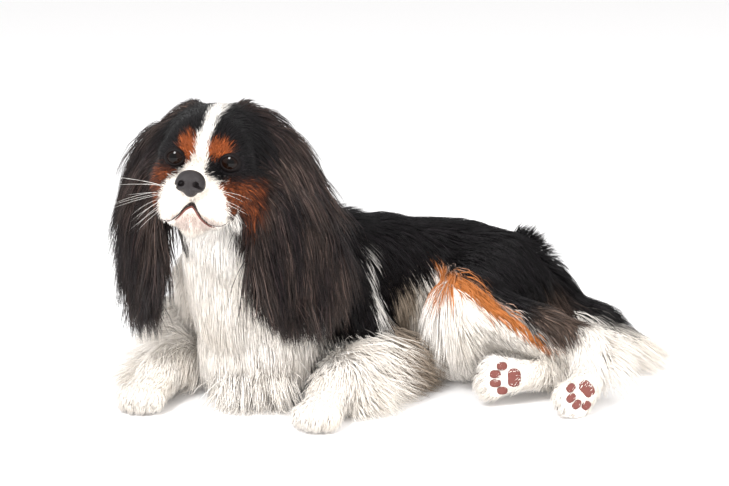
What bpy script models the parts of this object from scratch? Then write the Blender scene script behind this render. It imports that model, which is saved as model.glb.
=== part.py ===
"""A tricolour Cavalier King Charles spaniel lying on the floor: a still, life-size model.

Lengths are in millimetres and become metres when a mesh is made. X runs from the head end to the
tail, Y away from the side that the chest faces, Z up from the floor. The flesh is a set of round
forms that blend into one surface; each sub-part takes its own share of it.
"""

import math

import bmesh
import bpy
import numpy as np
from mathutils import Matrix, Vector

MM = 0.001

# Driving sizes, in millimetres
SEAM = 0.35  # gap between sub-parts that meet
BLEND = 14.0  # how softly the round forms run into one another
FINE_BLEND = 6.0  # the same, on the head and paws
EYE_SPACING = 47.0
EYE_RADIUS = 10.8
SHOULDER_HEIGHT = 105.0
ELBOW_HEIGHT = 36.0
ELBOW_SPACING = 164.0
FOREARM = 112.0  # elbow to wrist
FORE_HEADING = Vector((-0.33, -0.944, 0.0))  # the way the chest faces and the forelegs point
ELBOW_CENTRE = Vector((-69.0, 52.0, 0.0))  # on the floor, midway between the elbows
THIGH_TOP = Vector((122.0, 105.0, 80.0))
STIFLE = Vector((92.0, 18.0, 76.0))
HOCK = Vector((196.0, -18.0, 50.0))
LOW_THIGH_TOP = Vector((120.0, 132.0, 40.0))
LOW_STIFLE = Vector((86.0, 48.0, 30.0))
LOW_HOCK = Vector((178.0, 4.0, 20.0))

# The head's own frame: between the eyes, X to the dog's right, Y to its nose, Z to its crown
HEAD_PLACE = Vector((-134.0, -100.0, 230.0))
HEAD_YAW = math.radians(169.5)
HEAD_PITCH = math.radians(5.0)
HEAD_ROLL = math.radians(-4.0)


def head_matrix():
    pitch = Matrix.Rotation(HEAD_PITCH, 3, "X")
    roll = Matrix.Rotation(HEAD_ROLL, 3, "Y")
    yaw = Matrix.Rotation(HEAD_YAW, 3, "Z")
    return yaw @ roll @ pitch


HEAD_TURN = head_matrix()


def on_head(left, front, up):
    """A place given in the head's frame, with left as the dog's own left."""
    return HEAD_PLACE + HEAD_TURN @ Vector((-left, front, up))


# Round forms


def oval(centre, radii, turn=None):
    axes = np.eye(3) if turn is None else np.array(turn).T
    return ("oval", np.array(centre, float), np.array(radii, float), axes)


def cone(start, end, start_radius, end_radius):
    return ("cone", np.array(start, float), np.array(end, float), start_radius, end_radius)


def head_oval(left, front, up, radii):
    return oval(on_head(left, front, up), radii, HEAD_TURN)


def head_cone(start, end, start_radius, end_radius):
    return cone(on_head(*start), on_head(*end), start_radius, end_radius)


def distance(points, form):
    """Signed distance from a form's surface, negative inside."""
    if form[0] == "oval":
        _, centre, radii, axes = form
        local = (points - centre) @ axes.T
        near = np.linalg.norm(local / radii, axis=-1)
        slope = np.linalg.norm(local / radii**2, axis=-1)
        return near * (near - 1.0) / np.maximum(slope, 1e-6)
    _, start, end, start_radius, end_radius = form
    run = end - start
    along = np.clip((points - start) @ run / (run @ run), 0.0, 1.0)
    radius = start_radius + (end_radius - start_radius) * along
    return np.linalg.norm(points - start - along[..., None] * run, axis=-1) - radius


def smooth_least(first, second, blend):
    mix = np.clip(0.5 + 0.5 * (second - first) / blend, 0.0, 1.0)
    return second + (first - second) * mix - blend * mix * (1.0 - mix)


# The dog's left is +1 and its right -1


def paired(make):
    return [make(side) for side in (1, -1)]


def head_forms():
    forms = [
        head_oval(0, -46, 12, (44, 50, 35)),
        head_oval(0, -14, 8, (36, 21, 30)),
        head_cone((0, -4, -13), (0, 29, -16), 19, 13),
        head_cone((0, -14, -44), (0, 20, -50), 18, 13),
    ]
    forms += paired(lambda side: head_oval(side * 25, -24, -22, (23, 32, 30)))
    forms += paired(lambda side: head_oval(side * 25.5, -10, 1, (14, 14, 15)))
    forms += paired(lambda side: head_oval(side * 16.5, 16, -33, (18.5, 20, 20)))
    return forms


def elbow(side):
    across = Vector((-FORE_HEADING.y, FORE_HEADING.x, 0.0))
    return ELBOW_CENTRE + across * (side * ELBOW_SPACING / 2) + Vector((0, 0, ELBOW_HEIGHT))


def shoulder(side):
    across = Vector((-FORE_HEADING.y, FORE_HEADING.x, 0.0))
    return Vector((-86, 12, SHOULDER_HEIGHT)) + across * (side * ELBOW_SPACING * 0.32)


def wrist(side):
    return elbow(side) + FORE_HEADING * FOREARM + Vector((0, 0, 24 - ELBOW_HEIGHT))


def sole_turn(toe, sole):
    """Axes of a paw: its width, its length out to the toes, and up from its sole."""
    length = Vector(toe).normalized()
    up = (-Vector(sole)).normalized()
    up = (up - length * up.dot(length)).normalized()
    width = length.cross(up)
    return Matrix((width, length, up)).transposed()


def paw_forms(centre, toe, sole, size):
    """A pad of the foot and four toes, in a row that is longest in the middle."""
    turn = sole_turn(toe, sole)
    forms = [oval(centre, (size * 0.80, size * 0.95, size * 0.62), turn)]
    for place in (-1.5, -0.5, 0.5, 1.5):
        reach = size * (0.95 - 0.16 * abs(place) ** 1.5)
        out = turn @ Vector((place * size * 0.45, reach, -size * 0.12))
        forms.append(oval(Vector(centre) + out, (size * 0.27, size * 0.44, size * 0.40), turn))
    return forms


BODY = {
    "neck": [
        cone((-122, -40, 206), (-88, 16, 138), 43, 55),
        cone((-127, -62, 172), (-112, -38, 112), 30, 36),
    ],
    "chest": [
        oval((-90, -12, 84), (52, 52, 62)),
        oval((-54, 56, 86), (68, 68, 72)),
        cone((-54, 56, 84), (6, 98, 82), 68, 64),
        oval((-98, -20, 58), (46, 33, 58)),
    ],
    "loin": [
        cone((24, 108, 80), (84, 128, 76), 62, 60),
        oval((60, 100, 44), (48, 38, 44)),
    ],
    "rump": [
        cone((108, 134, 70), (150, 140, 62), 56, 46),
        oval((172, 140, 52), (34, 36, 38)),
    ],
    "tail": [
        cone((176, 138, 62), (214, 118, 42), 22, 21),
        cone((214, 118, 42), (262, 82, 20), 21, 14),
    ],
}
for side, name in ((1, "left"), (-1, "right")):
    BODY["foreleg_" + name] = [
        cone(shoulder(side), elbow(side), 32, 27),
        cone(elbow(side), wrist(side), 25, 19),
    ]
    BODY["forepaw_" + name] = paw_forms(
        wrist(side) + FORE_HEADING * 20 + Vector((0, 0, -9)), FORE_HEADING, (0, 0, -1), 23
    )
BODY["foreleg_left"] += [oval((16, 16, 17), (34, 34, 19))]
BODY["foreleg_right"] += [oval((-186, 40, 17), (34, 36, 19))]
BODY["thigh_left"] = [cone(THIGH_TOP, STIFLE, 50, 31)]
BODY["shank_left"] = [cone(STIFLE, HOCK, 29, 17), oval((172, 12, 60), (28, 22, 21))]
BODY["hindpaw_left"] = [cone(HOCK, (196, -56, 28), 15, 14)] + paw_forms(
    (188, -66, 20), (-0.72, -0.35, -0.60), (0.10, -0.97, 0.2), 20
)
BODY["thigh_right"] = [cone(LOW_THIGH_TOP, LOW_STIFLE, 44, 29), oval((102, 34, 34), (34, 30, 36))]
BODY["shank_right"] = [cone(LOW_STIFLE, LOW_HOCK, 27, 16)]
BODY["hindpaw_right"] = [cone(LOW_HOCK, (142, -30, 25), 14, 14)] + paw_forms(
    (126, -38, 26), (-0.98, -0.18, 0.0), (-0.16, -0.98, 0.1), 21
)
BODY["head"] = head_forms()

# The openings between the lids
HOLLOW_BLEND = 4.0
HOLLOWS = paired(lambda side: head_oval(side * EYE_SPACING / 2, 9, 0, (11, 12, 8)))

# How finely each sub-part is made: cell size in millimetres, and triangles to keep
FINENESS = {
    "head": (4.0, 880), "neck": (8.0, 240), "chest": (9.0, 320), "loin": (9.0, 320),
    "rump": (8.0, 240), "tail": (7.0, 220), "paw": (3.5, 260), "leg": (6.0, 215),
}

# Colours and finishes of the plain solids
COLOURS = {
    "black_coat": (0.018, 0.014, 0.015),
    "white_coat": (0.80, 0.74, 0.66),
    "brown_coat": (0.055, 0.035, 0.030),
    "nose_leather": (0.030, 0.026, 0.028),
    "eye_glass": (0.010, 0.006, 0.005),
}
ROUGHNESS = {"nose_leather": 0.45, "eye_glass": 0.08}


def material(name):
    found = bpy.data.materials.get(name)
    if found:
        return found
    made = bpy.data.materials.new(name)
    made.use_nodes = True
    shader = made.node_tree.nodes["Principled BSDF"]
    shader.inputs["Base Color"].default_value = (*COLOURS[name], 1.0)
    shader.inputs["Roughness"].default_value = ROUGHNESS.get(name, 0.75)
    shader.inputs["Metallic"].default_value = 0.0
    return made


# Meshes


def add_object(name, points, faces, finish):
    """Points in millimetres."""
    mesh = bpy.data.meshes.new(name)
    mesh.from_pydata((np.asarray(points, float) * MM).tolist(), [], [[int(k) for k in f] for f in faces])
    shape = bmesh.new()
    shape.from_mesh(mesh)
    bmesh.ops.recalc_face_normals(shape, faces=shape.faces)
    shape.to_mesh(mesh)
    shape.free()
    obj = bpy.data.objects.new(name, mesh)
    bpy.context.scene.collection.objects.link(obj)
    mesh.materials.append(material(finish))
    return obj


CORNERS = [np.array(c) for c in np.ndindex(2, 2, 2)]


def pinched_codes():
    """Which of a cell's 256 patterns of corners leave its inside or its outside in two pieces."""
    pinched = np.zeros(256, bool)
    for code in range(256):
        for wanted in (0, 1):
            group = [k for k in range(8) if (code >> k & 1) == wanted]
            linked = set(group[:1])
            for _ in range(7):
                linked |= {k for k in group for o in linked if bin(k ^ o).count("1") == 1}
            pinched[code] |= len(linked) < len(group)
    return pinched


PINCHED = pinched_codes()


def corner_values(value, corner):
    return value[tuple(slice(c, c + n - 1) for c, n in zip(corner, value.shape))]


def unpinch(value, cell):
    """Fills the cells where the surface would touch itself."""
    while True:
        code = sum((corner_values(value, c) < 0).astype(int) << k for k, c in enumerate(CORNERS))
        bad = PINCHED[code]
        if not bad.any():
            return
        for corner in CORNERS:
            part = corner_values(value, corner)
            part[bad & (part >= 0)] = -0.05 * cell


def surface(field, low, high, cell):
    """The closed surface where a field is zero, as one quad for each grid edge that crosses it."""
    low = np.asarray(low, float) - 4 * cell
    size = np.ceil((np.asarray(high, float) + 4 * cell - low) / cell).astype(int) + 1
    grid = np.stack(np.meshgrid(*[np.arange(n) for n in size], indexing="ij"), axis=-1)
    value = field(grid.reshape(-1, 3) * cell + low).reshape(size)
    value[np.abs(value) < 0.01 * cell] = 0.01 * cell
    inner = value[2:-2, 2:-2, 2:-2].copy()
    value[:] = cell
    value[2:-2, 2:-2, 2:-2] = inner
    unpinch(value, cell)
    cells = size - 1
    total = np.zeros((*cells, 3))
    count = np.zeros(cells)

    for first in CORNERS:
        for axis in range(3):
            if first[axis]:
                continue
            step = np.eye(3, dtype=int)[axis]
            a, b = corner_values(value, first), corner_values(value, first + step)
            cross = (a < 0) != (b < 0)
            part = np.where(cross, a / np.where(cross, a - b, 1.0), 0.0)
            total += np.where(cross[..., None], first + part[..., None] * step, 0.0)
            count += cross
    active = count > 0
    index = np.full(cells, -1)
    index[active] = np.arange(active.sum())
    places = np.argwhere(active) + total[active] / count[active][:, None]
    faces = []
    for axis in range(3):
        one, two = [(axis + k) % 3 for k in (1, 2)]
        step = np.eye(3, dtype=int)
        start = np.argwhere(np.diff(value < 0, axis=axis))
        start = start[(start[:, one] > 0) & (start[:, two] > 0)]
        ring = [start - step[one] - step[two], start - step[two], start, start - step[one]]
        quad = np.stack([index[tuple(r.T)] for r in ring], axis=1)
        flip = value[tuple(start.T)] > 0
        quad[flip] = quad[flip][:, ::-1]
        faces.append(quad)
    return places * cell + low, np.concatenate(faces)


def whole(points, low, high):
    """The whole dog's surface, from the forms that can reach a box."""
    total = np.full(len(points), 1e3)
    for name, forms in BODY.items():
        blend = FINE_BLEND if name == "head" or "paw" in name else BLEND
        part = np.full(len(points), 1e3)
        for form in forms:
            centres = [form[1]] if form[0] == "oval" else [form[1], form[2]]
            size = max(form[2]) if form[0] == "oval" else max(form[3], form[4])
            near = np.min(centres, axis=0) - size - 3 * BLEND
            far = np.max(centres, axis=0) + size + 3 * BLEND
            if (near < high).all() and (far > low).all():
                part = smooth_least(part, distance(points, form), blend)
        total = smooth_least(total, part, BLEND)
    for form in HOLLOWS:
        total = -smooth_least(-total, distance(points, form), HOLLOW_BLEND)
    return total


def bake(obj):
    """Replaces an object's mesh with what its modifiers make of it."""
    graph = bpy.context.evaluated_depsgraph_get()
    mesh = bpy.data.meshes.new_from_object(obj.evaluated_get(graph))
    obj.modifiers.clear()
    old = obj.data
    obj.data = mesh
    bpy.data.meshes.remove(old)


def thin_out(obj, faces):
    """Collapses short edges until about this many triangles are left."""
    obj.data.calc_loop_triangles()
    decimate = obj.modifiers.new("Fewer faces", "DECIMATE")
    decimate.ratio = min(1.0, faces / len(obj.data.loop_triangles))
    bake(obj)


def triangulate(obj):
    shape = bmesh.new()
    shape.from_mesh(obj.data)
    bmesh.ops.triangulate(shape, faces=shape.faces)
    shape.to_mesh(obj.data)
    shape.free()


def combine(obj, operation, other):
    """MANIFOLD, because EXACT drops faces where these rounded meshes nearly touch."""
    boolean = obj.modifiers.new("Boolean", "BOOLEAN")
    boolean.object = other
    boolean.operation = operation
    boolean.solver = "MANIFOLD"
    bake(obj)
    triangulate(obj)


def combine_and_drop(obj, operation, other):
    combine(obj, operation, other)
    remove(other)


def remove(obj):
    mesh = obj.data
    bpy.data.objects.remove(obj)
    bpy.data.meshes.remove(mesh)


def largest_body(obj):
    """Keeps the largest surface that is joined edge to edge, and drops loose scraps."""
    shape = bmesh.new()
    shape.from_mesh(obj.data)
    left = set(shape.faces)
    best = set()
    while left:
        group, front = set(), [left.pop()]
        while front:
            face = front.pop()
            group.add(face)
            edges = [edge for edge in face.edges if len(edge.link_faces) == 2]
            near = {other for edge in edges for other in edge.link_faces} & left
            left -= near
            front += near
        if sum(f.calc_area() for f in group) > sum(f.calc_area() for f in best):
            best = group
    bmesh.ops.delete(shape, geom=[f for f in shape.faces if f not in best], context="FACES")
    shape.to_mesh(obj.data)
    shape.free()


def floor_slab():
    """A slab under the floor, which leaves small flats where the dog rests."""
    size = 900.0
    corners = [(x, y, z) for z in (-80.0, 0.0) for y in (-size, size) for x in (-size, size)]
    faces = [(0, 2, 3, 1), (4, 5, 7, 6), (0, 1, 5, 4), (2, 6, 7, 3), (1, 3, 7, 5), (0, 4, 6, 2)]
    slab = add_object("floor_slab", corners, faces, "white_coat")
    slab.hide_render = True
    slab.display_type = "WIRE"
    return slab


# The dog


EARS = {
    "ear_left": {
        "path": [(-98, -54, 243), (-76, -58, 226), (-64, -70, 180), (-58, -80, 122), (-58, -84, 62)],
        "front": (-0.906, -0.425, 0), "widths": [13, 26, 40, 50, 52, 38],
    },
    "ear_right": {
        "path": [(-158, -44, 245), (-180, -40, 228), (-189, -46, 180), (-189, -52, 122), (-188, -56, 66)],
        "front": (-0.66, 0.75, 0), "widths": [13, 24, 34, 40, 40, 26],
    },
}
EAR_DEPTHS = [12, 20, 26, 28, 26, 20]  # of the ear's whole share, locks included
LEATHER_DEPTHS = [8, 12, 13, 12, 10, 8]
LEATHER_LENGTH = 0.5  # the leather's share of the ear, with locks beyond it
EAR_CUP = 15.0
SHARE_MARGIN = 0.4  # the share stands this far outside the leather


def ear_point(name, s, w, lift=0.0):
    """A place in an ear: s down its length, w across it from -1 to 1, and a lift off its sheet."""
    path = [Vector(p) for p in EARS[name]["path"]]
    front = Vector(EARS[name]["front"]).normalized()
    down = (path_point(path, min(s + 0.02, 1)) - path_point(path, max(s - 0.02, 0))).normalized()
    out = down.cross(front).normalized()
    hollow = -EAR_CUP * w * w * math.sin(math.pi * min(s * 1.3, 1))
    return path_point(path, s) + front * (w * table(EARS[name]["widths"], s)) + out * (lift + hollow)


def ear_leaf(title, name, length, narrow, depths, grow=0.0):
    """A hanging leaf that bends round the cheek, hollow on its inner side."""
    across, rings = 6, 7
    points = []
    for step in range(rings):
        s = length * step / (rings - 1)
        half = table(EARS[name]["widths"], s) * narrow
        wider = (half + grow) / table(EARS[name]["widths"], s)
        end = -grow if step == 0 else grow if step == rings - 1 else 0.0
        for face in (1, -1):
            for k in range(across):
                w = (2 * k / (across - 1) - 1) * face
                bow = 0.35 + 0.65 * math.sqrt(max(1 - w * w, 0.0))
                thick = table(depths, s / length) * bow / 2 + 1.1 * grow
                points.append(ear_point(name, s, w * wider, thick * face) - Vector((0, 0, end)))
    ring = 2 * across
    faces = []
    for step in range(rings - 1):
        for k in range(ring):
            a, b = step * ring + k, step * ring + (k + 1) % ring
            faces += [(a, b, b + ring), (a, b + ring, a + ring)]
    last = (rings - 1) * ring
    for k in range(across - 1):
        a, b, c, d = k, k + 1, ring - 2 - k, ring - 1 - k
        faces += [(a, c, b), (a, d, c), (last + a, last + b, last + c), (last + a, last + c, last + d)]
    return add_object(title, points, faces, "brown_coat")


def ear_share(name, grow):
    """All the room that an ear and its locks may take, as a helper."""
    obj = ear_leaf("ear_share", name, 1.0, 1.0, EAR_DEPTHS, grow)
    obj.hide_render = True
    obj.display_type = "WIRE"
    return obj


# Locks of long hair


def lock(path, width, thickness, face):
    """A flat, tapered lock along a path: four-sided rings and a tip."""
    path = [Vector(p) for p in path]
    points = []
    for k, share in enumerate(LOCK_PROFILE):
        way = (path[k + 1] - path[max(k - 1, 0)]).normalized()
        side = way.cross(Vector(face)).normalized()
        lift = side.cross(way)
        points += [path[k] + side * width * share / 2, path[k] + lift * thickness * share / 2,
                   path[k] - side * width * share / 2, path[k] - lift * thickness * share / 2]
    points.append(path[len(LOCK_PROFILE)])
    faces = [(3, 2, 1, 0)]
    for k in range(len(LOCK_PROFILE) - 1):
        for j in range(4):
            a, b = 4 * k + j, 4 * k + (j + 1) % 4
            faces.append((a, b, b + 4, a + 4))
    last = 4 * (len(LOCK_PROFILE) - 1)
    faces += [(last + j, last + (j + 1) % 4, last + 4) for j in range(4)]
    return add_object("lock", points, faces, "white_coat")


LOCK_PROFILE = (0.7, 1.0, 1.0, 0.85, 0.55)


def fuse(obj, pieces):
    """One union of an object with its locks."""
    group = bpy.data.collections.new("locks")
    bpy.context.scene.collection.children.link(group)
    for piece in pieces:
        bpy.context.scene.collection.objects.unlink(piece)
        group.objects.link(piece)
    boolean = obj.modifiers.new("Locks", "BOOLEAN")
    boolean.operand_type = "COLLECTION"
    boolean.collection = group
    boolean.operation = "UNION"
    boolean.solver = "MANIFOLD"
    bake(obj)
    for piece in pieces:
        remove(piece)
    bpy.data.collections.remove(group)
    triangulate(obj)


def build_ear(name, rng):
    obj = ear_leaf(name, name, LEATHER_LENGTH, 0.8, LEATHER_DEPTHS)
    pieces = []
    for columns, start, end, lift in EAR_LAYERS:
        for k in range(columns):
            w = (2 * (k + 0.5 + rng.uniform(-0.15, 0.15)) / columns - 1) * 0.86
            finish = end - 0.10 * abs(w) + rng.uniform(-0.05, 0.03)
            sway = rng.uniform(-0.10, 0.10)
            path = []
            for step in range(6):
                t = step / 5
                s = start + (finish - start) * t
                bend = sway * math.sin(2.6 * math.pi * t)
                path.append(ear_point(name, s, w * (0.72 + 0.28 * t) + bend, lift * min(1, 2.5 * t + 0.2)))
            width = 2.3 * table(EARS[name]["widths"], finish) / columns * rng.uniform(0.85, 1.1)
            face = ear_point(name, 0.5, 0, 1) - ear_point(name, 0.5, 0, 0)
            pieces.append(lock(path, width, 6.0, face))
    fuse(obj, pieces)
    combine_and_drop(obj, "INTERSECT", ear_share(name, SHARE_MARGIN))
    largest_body(obj)
    return obj


# Layers of locks on an ear: how many across, where they start and end, and how far out they lie
EAR_LAYERS = [(6, 0.30, 0.99, -4.0), (6, 0.22, 0.95, 4.0), (3, 0.08, 0.62, 7.5)]


def path_point(path, s):
    """A smooth curve through some points."""
    spans = len(path) - 1
    place = min(max(s, 0.0), 1.0) * spans
    k = min(int(place), spans - 1)
    t = place - k
    p0, p1, p2, p3 = (path[min(max(k + o, 0), spans)] for o in (-1, 0, 1, 2))
    return 0.5 * (
        2 * p1 + (p2 - p0) * t + (2 * p0 - 5 * p1 + 4 * p2 - p3) * t * t
        + (3 * p1 - p0 - 3 * p2 + p3) * t**3
    )


def table(values, s):
    return float(np.interp(s, np.linspace(0, 1, len(values)), values))


def ball(name, centre, radii, turn, finish, rings=8, sides=14):
    """A rounded solid of revolution about its second axis."""
    points = [Vector((0, 1, 0))]
    for k in range(1, rings):
        angle = math.pi * k / rings
        for j in range(sides):
            spin = 2 * math.pi * j / sides
            points.append(Vector((math.sin(angle) * math.cos(spin), math.cos(angle), math.sin(angle) * math.sin(spin))))
    points.append(Vector((0, -1, 0)))
    faces = [(0, 1 + (j + 1) % sides, 1 + j) for j in range(sides)]
    for k in range(rings - 2):
        for j in range(sides):
            a, b = 1 + k * sides + j, 1 + k * sides + (j + 1) % sides
            faces.append((a, b, b + sides, a + sides))
    last = len(points) - 1
    start = last - sides
    faces += [(start + j, start + (j + 1) % sides, last) for j in range(sides)]
    placed = [Vector(centre) + turn @ Vector([p[i] * radii[i] for i in range(3)]) for p in points]
    return add_object(name, placed, faces, finish)


def build_eyes(grow=0.0):
    made = []
    for side, name in ((1, "left"), (-1, "right")):
        centre = on_head(side * EYE_SPACING / 2, -5.0, 0)
        radii = (EYE_RADIUS + grow,) * 3
        made.append(ball("eye_" + name, centre, radii, HEAD_TURN, "eye_glass"))
    return made


def build_nose(grow=0.0):
    radii = (12.5 + grow, 8.5 + grow, 10 + grow)
    return [ball("nose", on_head(0, 35.5, -16), radii, HEAD_TURN, "nose_leather")]


def feature_rooms():
    """The room that the eyes and the nose take in the head, as helpers."""
    rooms = build_eyes(1.15 * SEAM) + build_nose(1.15 * SEAM)
    for room in rooms:
        room.hide_render = True
        room.display_type = "WIRE"
    return rooms


def onto_face(left, up):
    """Where a line straight back from in front of the face meets it, in the head's frame."""
    front = 80.0
    for _ in range(60):
        gap = float(field(np.array([on_head(left, front, up)]))[0])
        if gap < 0.05:
            break
        front -= max(0.5 * gap, 0.05)
    return Vector((left, front, up))


def tube(name, path, sizes):
    """A closed tube of few sides along places in the head's frame."""
    path = [Vector(p) for p in path]
    sides = 5
    points = []
    for k, spot in enumerate(path):
        way = (path[min(k + 1, len(path) - 1)] - path[max(k - 1, 0)]).normalized()
        first = way.cross(Vector((0.2, 1, 0.1))).normalized()
        second = way.cross(first)
        for j in range(sides):
            angle = 2 * math.pi * j / sides
            reach = (first * math.cos(angle) + second * math.sin(angle)) * table(sizes, k / (len(path) - 1))
            points.append(on_head(*(spot + reach)))
    faces = [tuple(range(sides))[::-1], tuple((len(path) - 1) * sides + j for j in range(sides))]
    for k in range(len(path) - 1):
        for j in range(sides):
            a, b = k * sides + j, k * sides + (j + 1) % sides
            faces.append((a, b, b + sides, a + sides))
    return add_object(name, points, faces, "black_coat")


# The mouth, from its middle to its corner, as left and up in the head's frame
MOUTH = [(0, -34), (6, -38), (11, -44), (17, -49), (23, -52), (29, -52)]
LID_OPENING = (8.2, 6.6)  # half the width and height of the eye's opening
LID = 2.1


def lid_path(side, above):
    """Round the upper or lower half of an eye, close over the eyeball."""
    path = []
    for k in range(8):
        angle = math.pi * k / 7
        left = -math.cos(angle) * LID_OPENING[0] * 1.08
        up = math.sin(angle) * LID_OPENING[1] * (1 if above else -1)
        front = -5.0 + math.sqrt(max((EYE_RADIUS + 0.9) ** 2 - left**2 - up**2, 1.0))
        path.append((side * (EYE_SPACING / 2 + left), front, up))
    return path


def face_details(head):
    """Adds lids and lips, and cuts the line of the mouth."""
    for side in (1, -1):
        for above in (True, False):
            piece = tube("lid", lid_path(side, above), (1.6, LID, LID + 0.3, LID, 1.6))
            combine_and_drop(head, "UNION", piece)
        line = [onto_face(side * left, up) for left, up in MOUTH]
        lip = [spot + Vector((0, -0.6, 2.2)) for spot in line[1:]]
        combine_and_drop(head, "UNION", tube("lip", lip, (1.4, 2.6, 2.8, 2.4, 1.2)))
        groove = [spot + Vector((0, 0.2, -1.2)) for spot in line]
        if side == 1:
            groove = [Vector((-1.5, groove[0].y, groove[0].z))] + groove
        combine_and_drop(head, "DIFFERENCE", tube("groove", groove, (1.0, 1.5, 1.6, 1.4, 0.8)))


def nostrils(nose):
    """Cuts the two nostrils and the groove under the nose."""
    for side in (1, -1):
        hole = [(side * 4.2, 39, -17.5), (side * 5.4, 46, -16.5), (side * 5.8, 50, -16)]
        combine_and_drop(nose, "DIFFERENCE", tube("nostril", hole, (1.0, 2.6, 3.4)))
        slit = [(side * 5.6, 42, -17.5), (side * 9.5, 43, -19.5), (side * 14, 42, -21)]
        combine_and_drop(nose, "DIFFERENCE", tube("slit", slit, (1.6, 1.1, 1.0)))
    combine_and_drop(nose, "DIFFERENCE", tube("groove", [(0, 45.5, -18), (0, 44.5, -24), (0, 38, -29)], (0.7, 0.9, 0.9)))


def hull(name, balls, grow):
    """The tight skin round some balls, as a helper that shares out the flesh."""
    golden = math.pi * (3 - math.sqrt(5))
    points = []
    for centre, radius in balls:
        for k in range(40):
            height = 1 - (2 * k + 1) / 40
            across = math.sqrt(1 - height * height)
            way = Vector((across * math.cos(golden * k), across * math.sin(golden * k), height))
            points.append(Vector(centre) + way * (radius + grow))
    shape = bmesh.new()
    for point in points:
        shape.verts.new(point * MM)
    made = bmesh.ops.convex_hull(shape, input=shape.verts)
    inner = [v for v in made["geom_interior"] if isinstance(v, bmesh.types.BMVert)]
    bmesh.ops.delete(shape, geom=inner, context="VERTS")
    bmesh.ops.recalc_face_normals(shape, faces=shape.faces)
    mesh = bpy.data.meshes.new(name)
    shape.to_mesh(mesh)
    shape.free()
    obj = bpy.data.objects.new(name, mesh)
    bpy.context.scene.collection.objects.link(obj)
    mesh.materials.append(material("white_coat"))
    obj.hide_render = True
    obj.display_type = "WIRE"
    return obj


def block(name, place, along, depth, grow):
    """A large block whose near face stands square to a direction at a place."""
    along = Vector(along).normalized()
    side = along.orthogonal().normalized()
    up = along.cross(side)
    half = 400.0
    points = []
    for a in (-grow, depth + grow):
        for b in (-half, half):
            for c in (-half, half):
                points.append(Vector(place) + along * a + side * b + up * c)
    faces = [(0, 1, 3, 2), (4, 6, 7, 5), (0, 4, 5, 1), (2, 3, 7, 6), (1, 5, 7, 3), (0, 2, 6, 4)]
    obj = add_object(name, points, faces, "white_coat")
    obj.hide_render = True
    obj.display_type = "WIRE"
    return obj


def regions():
    """What each sub-part may take, in the order in which they take it."""
    shares = {"head": (hull, ([(on_head(0, 10, -10), 75), (on_head(0, -62, 24), 62), (on_head(0, -8, -32), 50)],))}
    for side, name in ((1, "left"), (-1, "right")):
        tip = wrist(side) + FORE_HEADING * 40 + Vector((0, 0, -8))
        shares["forepaw_" + name] = (hull, ([(tip, 34), (wrist(side) + FORE_HEADING * 28, 32)],))
    shares["hindpaw_left"] = (hull, ([(HOCK.lerp(Vector((196, -56, 28)), 0.5), 24), ((182, -80, 14), 36)],))
    shares["hindpaw_right"] = (hull, ([((158, -18, 24), 22), ((112, -42, 26), 34)],))
    feathers = {"left": (34, 32, 22), "right": (-208, 36, 22)}
    for side, name in ((1, "left"), (-1, "right")):
        balls = [(elbow(side), 38), (wrist(side), 30), (feathers[name], 54)]
        shares["foreleg_" + name] = (hull, (balls,))
    shares["shank_left"] = (hull, ([(STIFLE + Vector((10, -10, -6)), 32), (HOCK, 25), ((176, 20, 62), 38)],))
    shares["thigh_left"] = (hull, ([(THIGH_TOP, 57), (STIFLE, 40)],))
    shares["shank_right"] = (hull, ([(LOW_STIFLE + Vector((8, -12, 0)), 32), (LOW_HOCK, 26)],))
    shares["thigh_right"] = (hull, ([(LOW_THIGH_TOP, 44), (LOW_STIFLE, 36), ((100, 30, 30), 40)],))
    shares["tail"] = (hull, ([((200, 128, 50), 44), ((262, 78, 22), 62), ((226, 64, 16), 52)],))
    shares["neck"] = (hull, ([((-125, -45, 205), 62), ((-92, 8, 150), 66)],))
    shares["chest"] = (block, ((4, 96, 80), (-0.72, -0.62, 0.0), 900.0))
    shares["loin"] = (block, ((98, 132, 70), (-0.97, -0.25, 0.0), 900.0))
    shares["rump"] = (block, ((400, 132, 70), (-1, 0, 0), 900.0))
    return shares


def field(points):
    """The whole dog's surface at a few places."""
    return whole(points, points.min(axis=0) - 1, points.max(axis=0) + 1)


def slope(points):
    """The way out of the dog at each place."""
    steps = np.eye(3) * 0.5
    rise = np.stack([field(points + step) - field(points - step) for step in steps], axis=1)
    return rise / np.maximum(np.linalg.norm(rise, axis=1, keepdims=True), 1e-9)


def grown_paths(roots, ways, lengths, lifts, gravity):
    """Paths of locks that leave the flesh, follow their way, sink and slide over what is under them."""
    spots = np.array(roots, float)
    for _ in range(6):
        spots -= slope(spots) * field(spots)[:, None]
    out = slope(spots)
    ways = np.array(ways, float)
    ways /= np.linalg.norm(ways, axis=1, keepdims=True)
    spots = spots - out * 7.0
    paths = [spots]
    way = ways + out * 0.4
    for step in range(5):
        way = way / np.linalg.norm(way, axis=1, keepdims=True)
        spots = spots + way * (lengths / 5)[:, None]
        want = lifts * min(1.0, 0.45 * (step + 1))
        spots = spots + slope(spots) * np.maximum(want - field(spots), 0)[:, None]
        spots[:, 2] = np.maximum(spots[:, 2], 3.4)
        way = spots - paths[-1]
        way = way / np.linalg.norm(way, axis=1, keepdims=True) + (0, 0, -gravity)
        paths.append(spots)
    return np.stack(paths, axis=1)


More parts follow.
